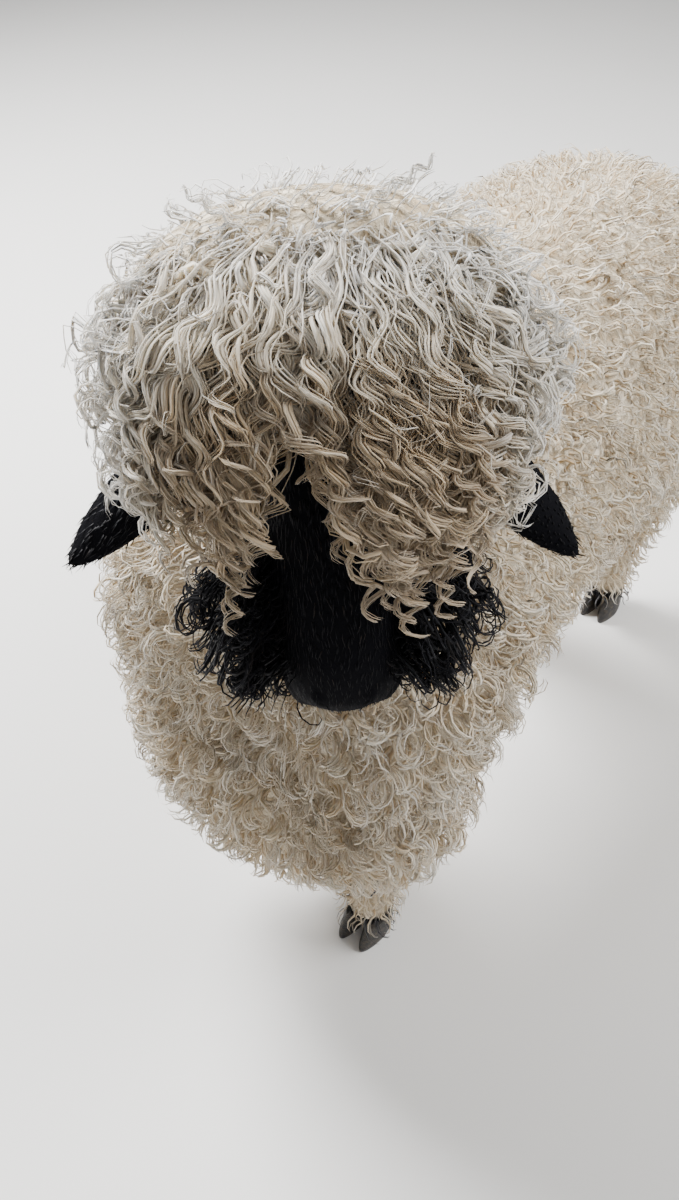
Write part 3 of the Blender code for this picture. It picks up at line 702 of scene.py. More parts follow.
# The skull with lids, cheeks, nostrils, lips and mouth line
def headSolid():
    shape = headShape
    end = shape["muzzleEnd"]
    rings = []
    for f, upper, lower, half in skullTable:
        middle = headPoint(0.0, (upper + lower) / 2, f)
        rings.append(ringAt(middle, across, outOfFace, half, (upper - lower) / 2, 48))
    lumps = [loft(rings)]
    cuts = [pipe(mouthPath(0.0), shape["mouthCut"], 8)]
    for side in (1, -1):
        place, axes = eyeAxes(side)
        radius = shape["eyeRadius"] + shape["lidThickness"]
        lumps.append(ball(place, (radius * 1.14, radius * 1.02, radius), axes))
        wide, high = shape["opening"]
        openingRings = []
        for reach, grow in ((shape["eyeRadius"] * 0.2, 0.9), (shape["eyeRadius"] + 0.02, 1.25)):
            middle = place + axes[2] * reach
            openingRings.append(ringAt(middle, axes[0], axes[1], wide * grow, high * grow, 24))
        cuts.append(loft(openingRings))
        (s, n, f), cheekRadii = shape["cheek"]
        lumps.append(ball(headPoint(side * s, n, f), cheekRadii, (across, outOfFace, downFace)))
        slant, out = (unit(headWay(side * s, n, f)) for s, n, f in shape["nostrilWays"])
        out = squareTo(out, slant)
        nostrilAxes = (slant, np.cross(slant, out), out)
        (s, n, back), rimRadii = shape["nostrilRim"]
        lumps.append(ball(headPoint(side * s, n, end - back), rimRadii, nostrilAxes))
        (s, n, back), holeRadii = shape["nostrilHole"]
        cuts.append(ball(headPoint(side * s, n, end - back), holeRadii, nostrilAxes, 20, 10))
    for lift, radius in shape["lips"]:
        lumps.append(pipe(mouthPath(lift), radius, 12))
    heights = np.linspace(*shape["lipGroove"], 6)
    groove = [headPoint(0.0, n, end + 0.0035 - 0.06 * abs(n + 0.022)) for n in heights]
    cuts.append(pipe(groove, shape["grooveCut"], 8))
    return boolean(remeshed(lumps, shape["voxel"], 5), "DIFFERENCE", cuts)


# Where the black begins and where it is full, from places on the face, round the ears and up the legs
markings = {
    "downFace": (0.046, 0.066),
    "offSkull": (0.020, 0.010),
    "roundCheek": (1.35, 1.15),
    "foot": (0.062, 0.046),
    "joint": (0.042, 0.026),
    "knee": (-0.035, 0.185),  # ahead of the leg's line, and its height
    "hock": (0.038, 0.215),
    "roundEar": (0.034, 0.028),
}


# How black the coat is at places: face, feet, knees and hocks
def blackness(points):
    s, n, f = inHead(points)
    upper, lower, half = skullAt(f)
    beyond = np.max((n - upper, lower - n, np.abs(s) - half, f - headShape["muzzleEnd"]), axis=0)
    dark = smooth(*markings["downFace"], f + 0.10 * np.abs(s)) * smooth(*markings["offSkull"], beyond)
    place, radii = headShape["cheek"]
    inCheek = np.linalg.norm((np.stack((np.abs(s), n, f), 1) - place) / radii, axis=1)
    dark = np.maximum(dark, smooth(*markings["roundCheek"], inCheek))
    for leg, (side, _) in feet.items():
        nearLeg = (np.abs(points[:, 0] - side * footX) < 0.07) & (points[:, 2] < 0.30)
        nearLeg &= np.abs(points[:, 1] - legLine(leg, points[:, 2])) < 0.09
        foot = smooth(*markings["foot"], points[:, 2] + 0.006 * waves(points, 0.03, 5))
        ahead, height = markings["knee" if leg.startswith("front") else "hock"]
        joint = np.array((side * footX, legLine(leg, height) + ahead, height))
        patch = smooth(*markings["joint"], np.linalg.norm((points - joint) * (1, 1, 0.75), axis=1))
        dark = np.maximum(dark, np.where(nearLeg, np.maximum(foot, patch), 0))
    return dark


# How black the coat is on the ears
def earBlackness(points):
    dark = np.zeros(len(points))
    for side in (1, -1):
        root, tip = earEnds(side)
        reach = tip - root
        share = np.clip((points - root) @ reach / (reach @ reach), 0.25, 1)
        away = np.linalg.norm(points - root - share[:, None] * reach, axis=1)
        dark = np.maximum(dark, smooth(*markings["roundEar"], away))
    return dark


bodyPart = remeshed(trunkSolids() + legSolids(), trunkShape["voxel"], 6)
headPart = headSolid()
ears = [earShape(side) for side in (1, -1)]
skinPoints, skinFaces = boolean(headPart, "UNION", [bodyPart] + ears)
skinNormals = cornerNormals(skinPoints, skinFaces)
skinDark = np.maximum(blackness(skinPoints), earBlackness(skinPoints))
skin = addMesh("skin", skinPoints, skinFaces, hide, values={"dark": skinDark})
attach(skin, "root")
legNodes = [f"leg_{leg}" for leg in feet]
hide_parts("torso", "neck", "head", "tail", "ear_left", "ear_right", *legNodes)
print("skin made:", len(skinFaces), "triangles")

# Forelock sizes: how far it stands from its middle, and the part of its front where the wool is warmer and
# darker, partly lanolin stain and partly painted shade
mop = {
    "middle": (0.000, -0.012, 0.038),
    "across": 0.140, "height": 0.086, "downFace": 0.120, "back": 0.084,
    "faceBulge": 0.044,
    "lowestTip": 92,
    "stainAndShadeWidth": (0.125, 0.070), "stainAndShadeStart": (-0.01, 0.11),
}


# How far down or back in the mop places down the face are: 1 on its outside
def mopDown(f):
    ahead = f - mop["middle"][2]
    return ahead / np.where(ahead > 0, mop["downFace"], mop["back"])


# How far out in the mop points are: 1 on its outside
def inMop(points):
    s, n, f = inHead(points)
    up = (n - mop["middle"][1]) / np.where(n > mop["middle"][1], mop["height"], 0.3 * mop["height"])
    return np.sqrt(mopDown(f) ** 2 + (s / mop["across"]) ** 2 + up**2)


# Coat: many thin curled strands, each a tapered three-sided tube
strandPatch = 0.003  # how wide a strand lies on the unwrap
pieceLimit = 190000  # triangles in one piece of the coat


# A root's place on a flat layout of the skin: round it in one direction, along it in the other
def unwrapPlace(points, zone):
    if zone == "head":
        s, n, f = inHead(points)
        around = (np.arctan2(s, n + 0.04) / (2 * math.pi)) % 1
        u, v = 0.63 + 0.34 * around, 0.03 + 0.94 * ((f + 0.06) / 0.36)
    elif zone == "legs":
        leg = (points[:, 0] > 0) * 1 + (points[:, 1] > 0.0) * 2
        around = np.zeros(len(points))
        for number, name in enumerate(("front_right", "front_left", "hind_right", "hind_left")):
            mine = leg == number
            ahead = points[:, 1] - legLine(name, points[:, 2])
            around[mine] = np.arctan2(points[mine, 0] - feet[name][0] * footX, ahead[mine])
        around = (around / (2 * math.pi)) % 1
        u, v = 0.03 + 0.14 * (leg + around), 0.03 + 0.30 * points[:, 2] / 0.36
    else:
        around = (np.arctan2(points[:, 0], points[:, 2] - 0.47) / (2 * math.pi)) % 1
        u, v = 0.03 + 0.56 * around, 0.38 + 0.59 * (points[:, 1] + 0.46) / 0.95
    return np.stack((np.clip(u, 0.01, 0.99), np.clip(v, 0.01, 0.99)), 1)


# The first of the points in each cell of a grid
def firstInCells(points, size):
    cell = np.floor(points / size).astype(np.int64)
    return np.unique(cell @ (1, 4096, 4096 * 4096), return_index=True)[1]


# Roots spread evenly on the skin, about one for each square of the spacing, with normals
def rootsOn(spacing, own, keep):
    a, b, c = (skinPoints[skinFaces[:, k]] for k in range(3))
    area = np.linalg.norm(np.cross(b - a, c - a), axis=1) / 2
    wanted = keep(skinPoints[skinFaces].mean(axis=1)) > 0
    faces, area = skinFaces[wanted], area[wanted]
    count = int(4.0 * area.sum() / spacing**2)
    chosen = own.choice(len(faces), count, p=area / area.sum())
    u, v = own.random(count), own.random(count)
    fold = u + v > 1
    u[fold], v[fold] = 1 - u[fold], 1 - v[fold]
    weights = np.stack((1 - u - v, u, v), 1)
    spots = np.einsum("ij,ijk->ik", weights, skinPoints[faces[chosen]])
    ways = unit(np.einsum("ij,ijk->ik", weights, skinNormals[faces[chosen]]))
    first = np.sort(firstInCells(spots, spacing))
    return spots[first], ways[first]


# One piece of strands. Paths hold each strand's points from root to tip, radii all but the tip's.
def strands(name, slot, zone, paths, radii, side, roots, tone, dark, flat, shade):
    count, length, _ = paths.shape
    rings = length - 1
    turned = []
    along = unit(np.gradient(paths, axis=1))
    for j in range(rings):
        t = along[:, j]
        side = squareTo(side, t)
        up = np.cross(t, side)
        r = radii[:, j, None]
        for k in range(3):
            a = 2 * math.pi * k / 3
            turned.append(paths[:, j] + r * (math.sin(a) * side - flat[:, None] * math.cos(a) * up))
    turned.append(paths[:, -1])
    each = rings * 3 + 1
    points = np.stack(turned, 1).reshape(-1, 3)
    faces = [(0, 2, 1)]
    for j in range(rings - 1):
        for k in range(3):
            a, b = 3 * j + k, 3 * j + (k + 1) % 3
            faces += [(a, b, b + 3), (a, b + 3, a + 3)]
    last = 3 * (rings - 1)
    faces += [(last + k, last + (k + 1) % 3, each - 1) for k in range(3)]
    faces = (np.array(faces)[None] + each * np.arange(count)[:, None, None]).reshape(-1, 3)
    share = np.append(np.repeat(np.arange(rings) / rings, 3), 1.0)
    turn = np.append(np.tile((0.0, 0.5, 1.0), rings), 0.5)
    patch = strandPatch * (np.stack((turn, share), 1) - 0.5)
    place = (unwrapPlace(roots, zone)[:, None] + patch[None]).reshape(-1, 2)
    tone, dark = (np.repeat(v[:, None], each, 1) if v.ndim == 1 else v for v in (tone, dark))
    values = {
        # shade is where the root starts on the colour ramp: the lower it is, the darker the painted shade
        # at the root
        "along": (shade[:, None] + (1 - shade[:, None]) * share).ravel(),
        "tone": tone.ravel(),
        "turn": np.tile(turn, count),
        "dark": dark.ravel(),
    }
    item = addMesh(name, points, faces, coatMaterials[slot], place, values)
    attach(item, "root")
    print(name, count, "strands,", len(faces), "triangles")


# Splits the strands between pieces that each stay under the limit
def coatPieces(name, slot, zone, arrays):
    count, length, _ = arrays["paths"].shape
    pieces = max(1, math.ceil(count * ((length - 2) * 6 + 4) / pieceLimit))
    for k in range(pieces):
        part = {key: value[k::pieces] for key, value in arrays.items()}
        strands(f"{name}_{k + 1}" if pieces > 1 else name, slot, zone, **part)


# The way the coat lies: down and a little back, straight down on the chest
def lieOf(points, normals):
    x, y, _ = points.T
    aside = 0.5 * np.sign(x) * smooth(0.0, 0.06, np.abs(x))
    way = np.stack((aside, 0.4 * smooth(-0.30, -0.15, y), -np.ones(len(points))), 1)
    return unit(way - normals * dot(way, normals) + 1e-6)


# Curled strands drawn together in small locks
def curledLocks(roots, normals, own, look, scale, lie=None):
    count = len(roots)
    steps = look["steps"]
    lie = lieOf(roots, normals) if lie is None else squareTo(lie, normals)
    # every strand joins the nearest lock, whose curl it shares
    heads = firstInCells(roots, look["lockSpacing"])
    tree = kdtree.KDTree(len(heads))
    for k, i in enumerate(heads):
        tree.insert(roots[i], k)
    tree.balance()
    lock = np.array([tree.find(Vector(p))[1] for p in roots])
    middle = roots[heads][lock]
    lockDraw = own.random((len(heads), 6))[lock]
    lean = (lockDraw[:, :1] - 0.5) * look["sway"]
    lie = unit(lie + unit(np.cross(normals, lie)) * lean)
    sideways = unit(np.cross(normals, lie))
    phase = 2 * math.pi * lockDraw[:, 1] + own.normal(0, look["loose"], count)
    turns = look["turns"] * (0.8 + 0.4 * lockDraw[:, 2]) * np.where(lockDraw[:, 3] > 0.5, 1, -1)
    rise = look["rise"] * scale * (0.86 + 0.20 * lockDraw[:, 4]) * own.uniform(0.88, 1.04, count)
    reach = look["reach"] * scale * own.uniform(0.75, 1.2, count)
    curl = look["curl"] * scale * own.uniform(0.8, 1.25, count)
    t = (np.linspace(0, 1, steps + 1) ** 0.85)[None, :, None]  # shorter steps near the tip
    up = rise[:, None, None] * (1 - (1 - t) ** look["upFast"])
    forward = reach[:, None, None] * t ** look["forwardSlow"]
    gather = (middle - roots)[:, None] * look["gather"] * t**1.4
    a = phase[:, None, None] + 2 * math.pi * turns[:, None, None] * t
    bow = curl[:, None, None] * (0.15 + 0.85 * t**0.8)
    n, l, w = normals[:, None], lie[:, None], sideways[:, None]
    paths = (
        roots[:, None] - n * look["sink"]
        + n * up + l * forward + gather
        + w * bow * np.cos(a) + (0.75 * n + 0.45 * l) * bow * np.sin(a)
    )
    radii = look["thickness"] * scale[:, None] * (1 - 0.55 * np.linspace(0, 1, steps)[None] ** 2)
    radii = radii * own.uniform(0.8, 1.2, (count, 1))
    tone = look["paleness"] * (0.6 * lockDraw[:, 5] + 0.4 * own.random(count))
    plain = {"dark": np.zeros(count), "flat": np.ones(count), "shade": np.zeros(count)}
    return {"paths": paths, "radii": radii, "side": sideways, "roots": roots, "tone": tone} | plain


# The fleece of the trunk and neck
fleece = {
    "spacing": 0.0091, "steps": 6, "lockSpacing": 0.0135, "sway": 1.8, "loose": 0.45,
    "turns": 1.35, "rise": 0.0165, "reach": 0.0175, "curl": 0.0060, "upFast": 1.7,
    "forwardSlow": 1.4, "gather": 0.75, "sink": 0.003, "thickness": 0.00118, "paleness": 0.50,
    "lowest": 0.285,  # the leg wool starts below
    "offMop": 0.92,
    "chestBack": -0.235, "chestTop": 0.60,  # where the chest's wool ends
    "neck": (0.66, 0.74), "neckThinner": 0.15,  # heights, and how much shorter it grows there
    "belly": (0.40, 0.33), "bellyFuller": 0.25,
    "crest": (0.69, 0.77), "crestPaler": 0.9,
    "shortened": 0.45,  # what is left of a strand that would cross the face
    "seed": 21,
}
# the chest, nearest the eye, has longer and smoother curls
chestFleece = fleece | {
    "spacing": 0.0072, "steps": 10, "lockSpacing": 0.0165, "turns": 1.45, "rise": 0.0220, "reach": 0.0290,
    "curl": 0.0082, "gather": 0.80, "loose": 0.30, "thickness": 0.00105,
    "seed": 23,
}


# The part of the face that the fleece keeps off
clearFace = {"across": (-0.052, 0.052), "out": (-0.092, 0.10), "down": (0.08, 0.270)}
# Share of the broad strands, then thickness and flatness of the broad and of the fine ones
mixture = {"broadShare": 0.65, "broad": (1.45, 0.28), "fine": (0.6, 0.9)}


# Which points lie between the limits across, out of and down the face
def within(points, limits, mirrored=False):
    s, n, f = inHead(points)
    inside = np.ones(len(points), bool)
    for place, key in ((np.abs(s) if mirrored else s, "across"), (n, "out"), (f, "down")):
        low, high = limits[key]
        inside &= (place > low) & (place < high)
    return inside


# Which strands would cross the muzzle and the cheeks
def crossFace(arrays):
    inside = within(arrays["paths"].reshape(-1, 3), clearFace)
    return inside.reshape(len(arrays["paths"]), -1).any(axis=1)


# Makes most strands broad and flat and the others fine and round
def bandsAndFine(arrays, own):
    broad = own.random(len(arrays["paths"])) < mixture["broadShare"]
    thick, flat = (np.where(broad, *pair) for pair in zip(mixture["broad"], mixture["fine"]))
    arrays["radii"] = arrays["radii"] * thick[:, None]
    arrays["flat"] = flat


def trunkFleece(name, look, chest):
    own = np.random.default_rng(look["seed"])

    def keep(p):
        bare = (np.maximum(blackness(p), earBlackness(p)) > 0.5) & (p[:, 2] > 0.5)
        onChest = (p[:, 1] < look["chestBack"]) & (p[:, 2] < look["chestTop"])
        return (p[:, 2] > look["lowest"]) & ~bare & (inMop(p) > look["offMop"]) & (onChest == chest)

    roots, normals = rootsOn(look["spacing"], own, keep)
    height = roots[:, 2]
    thinner = 1 - look["neckThinner"] * smooth(*look["neck"], height)
    belly = smooth(*look["belly"], height) * smooth(0.0, -0.5, normals[:, 2])
    scale = own.uniform(0.9, 1.1, len(roots)) * thinner * (1 + look["bellyFuller"] * belly)
    arrays = curledLocks(roots, normals, own, look, scale)
    arrays["tone"] = np.clip(arrays["tone"] + look["crestPaler"] * smooth(*look["crest"], height), 0, 1)
    bandsAndFine(arrays, own)
    # strands that would cross the face are shortened, or left out if that isn't enough
    crossing = crossFace(arrays)
    roots = roots[crossing, None]
    arrays["paths"][crossing] = roots + (arrays["paths"][crossing] - roots) * look["shortened"]
    clear = ~crossFace(arrays)
    coatPieces(name, "wool", "trunk", {key: value[clear] for key, value in arrays.items()})


legWool = {
    "spacing": 0.0094, "steps": 6, "lockSpacing": 0.015, "sway": 1.0, "loose": 0.45,
    "turns": 1.15, "rise": 0.021, "reach": 0.026, "curl": 0.0060, "upFast": 1.7,
    "forwardSlow": 1.2, "gather": 0.70, "sink": 0.003, "thickness": 0.00128, "paleness": 0.50,
    "heights": (0.044, 0.285),
    "slimmer": (0.05, 0.16),  # heights where it grows short above the hoof
    "roundBrisket": (1.12, 1.03), "brisketSize": 1.25,  # fuller where the chest begins
    "seed": 22,
}


def legFleece():
    own = np.random.default_rng(legWool["seed"])
    low, high = legWool["heights"]
    roots, normals = rootsOn(legWool["spacing"], own, lambda p: (p[:, 2] <= high) & (p[:, 2] > low))
    brisket = np.linalg.norm((roots - trunkShape["brisketMiddle"]) / trunkShape["brisketRadii"], axis=1)
    onChest = smooth(*legWool["roundBrisket"], brisket)
    slim = 0.80 + 0.20 * smooth(*legWool["slimmer"], roots[:, 2])
    scale = slim * (1 - onChest) + legWool["brisketSize"] * onChest
    arrays = curledLocks(roots, normals, own, legWool, scale)
    arrays["dark"] = blackness(roots)
    bandsAndFine(arrays, own)
    coatPieces("legWool", "wool", "legs", arrays)


trunkFleece("fleece", fleece, False)
trunkFleece("chestFleece", chestFleece, True)
legFleece()

# Forelock: locks that spread from the crown and hang in long waves over the face

# A point in the mop: theta from its top, phi round it from the face, depth 1 on its outside
def mopPlace(theta, phi, depth):
    down, sidewise = np.cos(phi), np.sin(phi)
    reach = np.where(down > 0, mop["downFace"], mop["back"])
    s = mop["middle"][0] + depth * mop["across"] * sidewise * np.sin(theta)
    f = mop["middle"][2] + depth * reach * down * np.sin(theta)
    n = mop["middle"][1] + depth * mop["height"] * np.cos(theta)
    n = n + depth * mop["faceBulge"] * np.maximum(0, down) ** 1.5 * np.maximum(0, np.sin(theta)) ** 2
    return poll + s[..., None] * across + n[..., None] * outOfFace + f[..., None] * downFace


# How far out of the face the mop's outside is, hanging straight on beyond its edge
def domeHeight(s, f):
    down = mopDown(f)
    r = np.sqrt(down**2 + (s / mop["across"]) ** 2)
    inside = np.minimum(r, 0.99)
    bulge = mop["faceBulge"] * np.maximum(0, down / np.maximum(r, 1e-6)) ** 1.5 * inside**2
    height = mop["middle"][1] + mop["height"] * np.sqrt(1 - inside**2) + bulge
    return height - 0.05 * np.maximum(0, r - 0.99)


# Places along a lock, closer together toward its tip
def lockSteps(steps):
    return 1 - (1 - np.linspace(0, 1, steps + 1)[None]) ** 1.3


# A few wavy strands round each lock's middle line
def lockStrands(name, look, line, shade, own):
    count, steps = len(line), look["steps"]
    t = lockSteps(steps)
    out = unit(line - headPoint(*mop["middle"]))
    along = unit(np.gradient(line, axis=1))
    out = squareTo(out, along)
    sideways = np.cross(along, out)
    length = np.linalg.norm(np.diff(line, axis=1), axis=2).sum(axis=1)
    turns = length / own.uniform(*look["waveLength"], count)
    size = own.uniform(*look["wave"], count)
    phase = own.uniform(0, 6.28, count)
    hand = own.uniform(0.2, 0.9, count)
    lockTone = own.random(count)
    wound = 2 * math.pi * turns[:, None] * (t + look["tighten"] * t**3)
    low, high = look["tone"]
    paths, radii, tones, flats = [], [], [], []
    for kind in [kind for kind in look["kinds"] for _ in range(kind["strands"])]:
        a = (phase + own.normal(0, kind["loose"], count))[:, None] + wound
        grow = (0.25 + 0.75 * np.minimum(1, 2.2 * t)) * (size * own.uniform(0.85, 1.15, count))[:, None]
        grow = grow * (1 + look["tipCurl"] * t**4)
        close = kind["bundle"] * (1 - 0.88 * t**1.5)
        aside = own.normal(0, 1.0, count)[:, None] * close
        lift = own.normal(0, 0.6, count)[:, None] * close
        path = line + sideways * (grow * np.cos(a) + aside)[..., None]
        path = path + out * (grow * hand[:, None] * np.sin(a) + lift)[..., None]
        thick = kind["thickness"] * own.uniform(0.75, 1.25, (count, 1))
        drawn = low + (high - low) * (0.6 * lockTone + 0.4 * own.random(count))
        # lower tones on the front and lower middle of the mop: lanolin stain and painted shade
        s, _, f = inHead(path)
        front = smooth(*mop["stainAndShadeWidth"], np.abs(s)) * smooth(*mop["stainAndShadeStart"], f)
        here = np.clip(drawn[:, None] - look["stainAndShadeFront"] * front, 0, 1)
        paths.append(path)
        radii.append(thick * (1 - 0.6 * np.linspace(0, 1, steps)[None] ** 2.5))
        tones.append(np.hstack((np.repeat(here[:, :-1], 3, axis=1), here[:, -1:])))
        flats.append(np.full(count, kind["flat"]))
    each = len(paths)
    paths = np.vstack(paths)
    coatPieces(name, "wool", "head", {
        "paths": paths, "radii": np.vstack(radii), "side": np.tile(sideways[:, 0], (each, 1)),
        "roots": paths[:, 0], "tone": np.concatenate(tones), "dark": np.zeros(len(paths)),
        "flat": np.concatenate(flats), "shade": np.tile(shade, each),
    })


# Where the fringe ends: places across the face, and how far down it the hair reaches there
fringeEnds = np.array((
    (-0.115, 0.112), (-0.092, 0.140), (-0.075, 0.166), (-0.054, 0.184), (-0.038, 0.134),
    (-0.017, 0.084), (-0.004, 0.125), (0.012, 0.162), (0.034, 0.188), (0.056, 0.194),
    (0.077, 0.176), (0.095, 0.142), (0.115, 0.112),
))


# Long locks from the parting down over the face, leaving the wedge of the bridge open
def fringeLocks(name, look):
    own = np.random.default_rng(look["seed"])
    count = look["count"]
    t = lockSteps(look["steps"])
    s1 = own.uniform(*look["width"], count)
    full = own.random(count) < look["fullShare"]
    share = np.where(full, own.uniform(*look["fullReach"], count), own.uniform(*look["shortReach"], count))
    f1 = np.interp(s1, *fringeEnds.T) * share
    s0 = look["parting"] + (s1 - look["parting"]) * own.uniform(*look["gathered"], count)
    f0 = own.uniform(*look["rootPlace"], count)
    s = s0[:, None] + (s1 - s0)[:, None] * (1 - (1 - t) ** 2.2)
    s = s + own.normal(0, look["wander"], count)[:, None] * np.sin(math.pi * t)
    f = f0[:, None] + (f1 - f0)[:, None] * t
    layer = np.where(full, own.uniform(*look["fullDepth"], count), own.uniform(*look["shortDepth"], count))
    layer = layer[:, None]
    n = domeHeight(s, f) * (0.55 + (layer - 0.55) * np.minimum(1, 2.6 * t + 0.25) ** 0.7)
    upper, _, _ = skullAt(f)
    n = np.maximum(n, upper + 0.006)  # clear of the face
    # the long locks lie deeper in the mop and start lower on the ramp: painted shade
    lockStrands(name, look, headPoint(s, n, f), np.where(full, 0.35, 0.6), own)


# Locks that start all over the crown and run outward round the mop
def domeLocks(name, look):
    own = np.random.default_rng(look["seed"])
    count = look["count"]
    t = lockSteps(look["steps"])
    phi = (np.arange(count) + own.uniform(-0.4, 0.4, count)) / count * 2 * math.pi - math.pi
    own.shuffle(phi)
    low, high = np.radians(look["first"])
    first = np.arccos(np.cos(high) + (np.cos(low) - np.cos(high)) * own.random(count))
    sweep = np.radians(own.uniform(*look["sweep"], count))
    last = np.minimum(first + sweep, math.radians(mop["lowestTip"]))
    layer = own.uniform(*look["layer"], count)
    start = layer * own.uniform(*look["rootDepth"], count)
    fall = own.uniform(*look["fall"], count)
    theta = first[:, None] + (last - first)[:, None] * t
    depth = start[:, None] + (layer - start)[:, None] * np.minimum(1, look["haste"] * t) ** 0.8
    turn = phi[:, None] + own.normal(0, look["drift"], count)[:, None] * t
    turn = turn + 0.06 * np.sin(own.uniform(0, 6.28, count)[:, None] + 4 * t)
    line = mopPlace(theta, turn, depth) - zUp * (fall[:, None] * t**1.8)[..., None]
    aside, ahead = np.clip(own.normal(size=(2, count)), -1.3, 1.3) * np.array(look["scatter"])[:, None]
    scatter = headWay(aside, np.zeros(count), ahead)
    line = line + scatter[:, None] * ((1 - t) ** 1.5)[..., None]
    s, _, f = inHead(line)
    overFace = ((f > np.interp(s, *fringeEnds.T) - look["faceGap"]) & (np.abs(s) < 0.09)).any(axis=1)
    # deeper locks start lower on the colour ramp: painted shade inside the mop
    shade = 0.30 + 0.40 * smooth(*look["layer"], layer)
    lockStrands(name, look, line[~overFace], shade[~overFace], own)


# broad flat strands, and the fine hairs laid among them
band = {"strands": 4, "thickness": 0.00118, "flat": 0.36, "bundle": 0.0026, "loose": 0.22}
fine = {"strands": 6, "thickness": 0.00046, "flat": 1.0, "bundle": 0.0050, "loose": 0.45}
fringe = {
    "count": 128, "width": (-0.112, 0.112), "fullShare": 0.55, "parting": 0.012,
    "rootPlace": (-0.034, 0.050), "wander": 0.010, "waveLength": (0.030, 0.048),
    "wave": (0.0040, 0.0080), "tipCurl": 0.2, "tighten": 0.22,
    "tone": (0.35, 0.90), "stainAndShadeFront": 0.80, "seed": 31,
    # long and short locks: how far down toward the fringe's end, and how deep in the mop, 1 on its outside
    "fullReach": (0.84, 1.08), "fullDepth": (0.80, 0.97),
    "shortReach": (0.50, 0.84), "shortDepth": (0.93, 1.03),
    "gathered": (0.25, 0.72),  # how wide the roots lie, as a share of the tips' width
}
fringeLocks("forelock", fringe | {"kinds": (band,), "steps": 48})
fringeLocks("forelockFine", fringe | {"kinds": (fine | {"strands": 5},), "steps": 28})
domeLook = {
    "rootDepth": (0.62, 0.80), "drift": 0.5, "faceGap": 0.012,
    "tipCurl": 0.8, "tighten": 0.1, "stainAndShadeFront": 0.75,
}
domeKinds = {
    # broad soft locks that fill the inside
    "underlocks": {
        "count": 400, "kinds": (band | {"strands": 2, "thickness": 0.0044, "bundle": 0.004},), "steps": 9,
        "first": (0, 74), "sweep": (20, 36), "layer": (0.74, 0.90), "fall": (0.000, 0.010), "haste": 2.4,
        "faceGap": 0.036, "drift": 0.20, "scatter": (0.010, 0.016), "waveLength": (0.036, 0.050),
        "wave": (0.0030, 0.0050), "tipCurl": 0.4, "tighten": 0.0, "tone": (0.40, 0.90), "seed": 35,
    },
    # crown, sides and back: fuller and more frizzy, their high tones painted light on the mop's top
    "topknot": {
        "count": 500, "kinds": (band | {"strands": 3}, fine | {"strands": 2}), "steps": 17,
        "first": (3, 74), "sweep": (14, 32), "layer": (0.84, 1.00), "fall": (0.006, 0.040), "haste": 2.4,
        "faceGap": 0.016, "drift": 0.20, "scatter": (0.014, 0.026), "waveLength": (0.030, 0.042),
        "wave": (0.0045, 0.0075), "tone": (0.55, 1.00), "seed": 32,
    },
    # short tufts that fill the crown, palest of all as painted light on the top
    "crownTufts": {
        "count": 290, "kinds": (band | {"strands": 2}, fine | {"strands": 2}), "steps": 9,
        "first": (0, 60), "sweep": (8, 17), "layer": (0.82, 0.98), "fall": (0.000, 0.006), "haste": 1.6,
        "scatter": (0.010, 0.020), "waveLength": (0.022, 0.030),
        "wave": (0.0040, 0.0065), "tone": (0.75, 1.00), "seed": 34,
    },
    # a few strays
    "strays": {
        "count": 80, "kinds": (fine | {"strands": 2, "bundle": 0.0010, "thickness": 0.00034},), "steps": 20,
        "first": (2, 70), "sweep": (8, 18), "layer": (1.00, 1.08), "fall": (0.000, 0.006), "haste": 1.2,
        "scatter": (0.014, 0.026), "waveLength": (0.014, 0.022),
        "wave": (0.0035, 0.0060), "tone": (0.60, 1.00), "seed": 33,
    },
}
for lockName, lockLook in domeKinds.items():
    domeLocks(lockName, domeLook | lockLook)

# Two wisps that stand up from the crown
wisps = {
    # root and tip of each
    "ends": (
        ((-0.034, 0.030, -0.024), (-0.068, 0.040, -0.047)),
        ((0.008, 0.032, -0.026), (0.063, 0.042, -0.055)),
    ),
    "kinds": (fine | {"strands": 8, "bundle": 0.0034, "thickness": 0.00050, "loose": 0.8},), "steps": 36,
    "waveLength": (0.013, 0.017), "wave": (0.0019, 0.0025), "tipCurl": 0.3, "tighten": 0.15,
    "tone": (0.80, 1.00), "stainAndShadeFront": 0.75, "seed": 36,
}
wispEnds = np.array([[headPoint(*place) for place in pair] for pair in wisps["ends"]])
wispSteps = lockSteps(wisps["steps"])[..., None]
wispLines = wispEnds[:, :1] * (1 - wispSteps) + wispEnds[:, 1:] * wispSteps
lockStrands("wisps", wisps, wispLines, np.full(2, 0.5), np.random.default_rng(wisps["seed"]))

# Cheeks: black ringlets beside the muzzle
cheekWool = {
    "spacing": 0.0059, "steps": 22, "lockSpacing": 0.011, "sway": 2.4, "loose": 0.35,
    "turns": 2.9, "rise": 0.042, "reach": 0.022, "curl": 0.0094, "upFast": 1.3,
    "forwardSlow": 1.5, "gather": 0.7, "sink": 0.003, "thickness": 0.00105, "paleness": 1.0,
    # where the ringlets grow
    "across": (0.024, 0.066), "out": (-0.09, -0.008), "down": (0.105, 0.226),
    "stand": (0.7, 0.15, 0.35),  # which way they lean from the skin
    # where they start and are full: down the face, up from the muzzle's end, below the eye
    "fadeTop": (0.122, 0.172), "fadeEnd": (0.240, 0.212), "fadeEye": (-0.002, -0.018),
    "size": (0.35, 1.03),
    "greyEnds": (0.100, 0.150),
    "seed": 41,
}


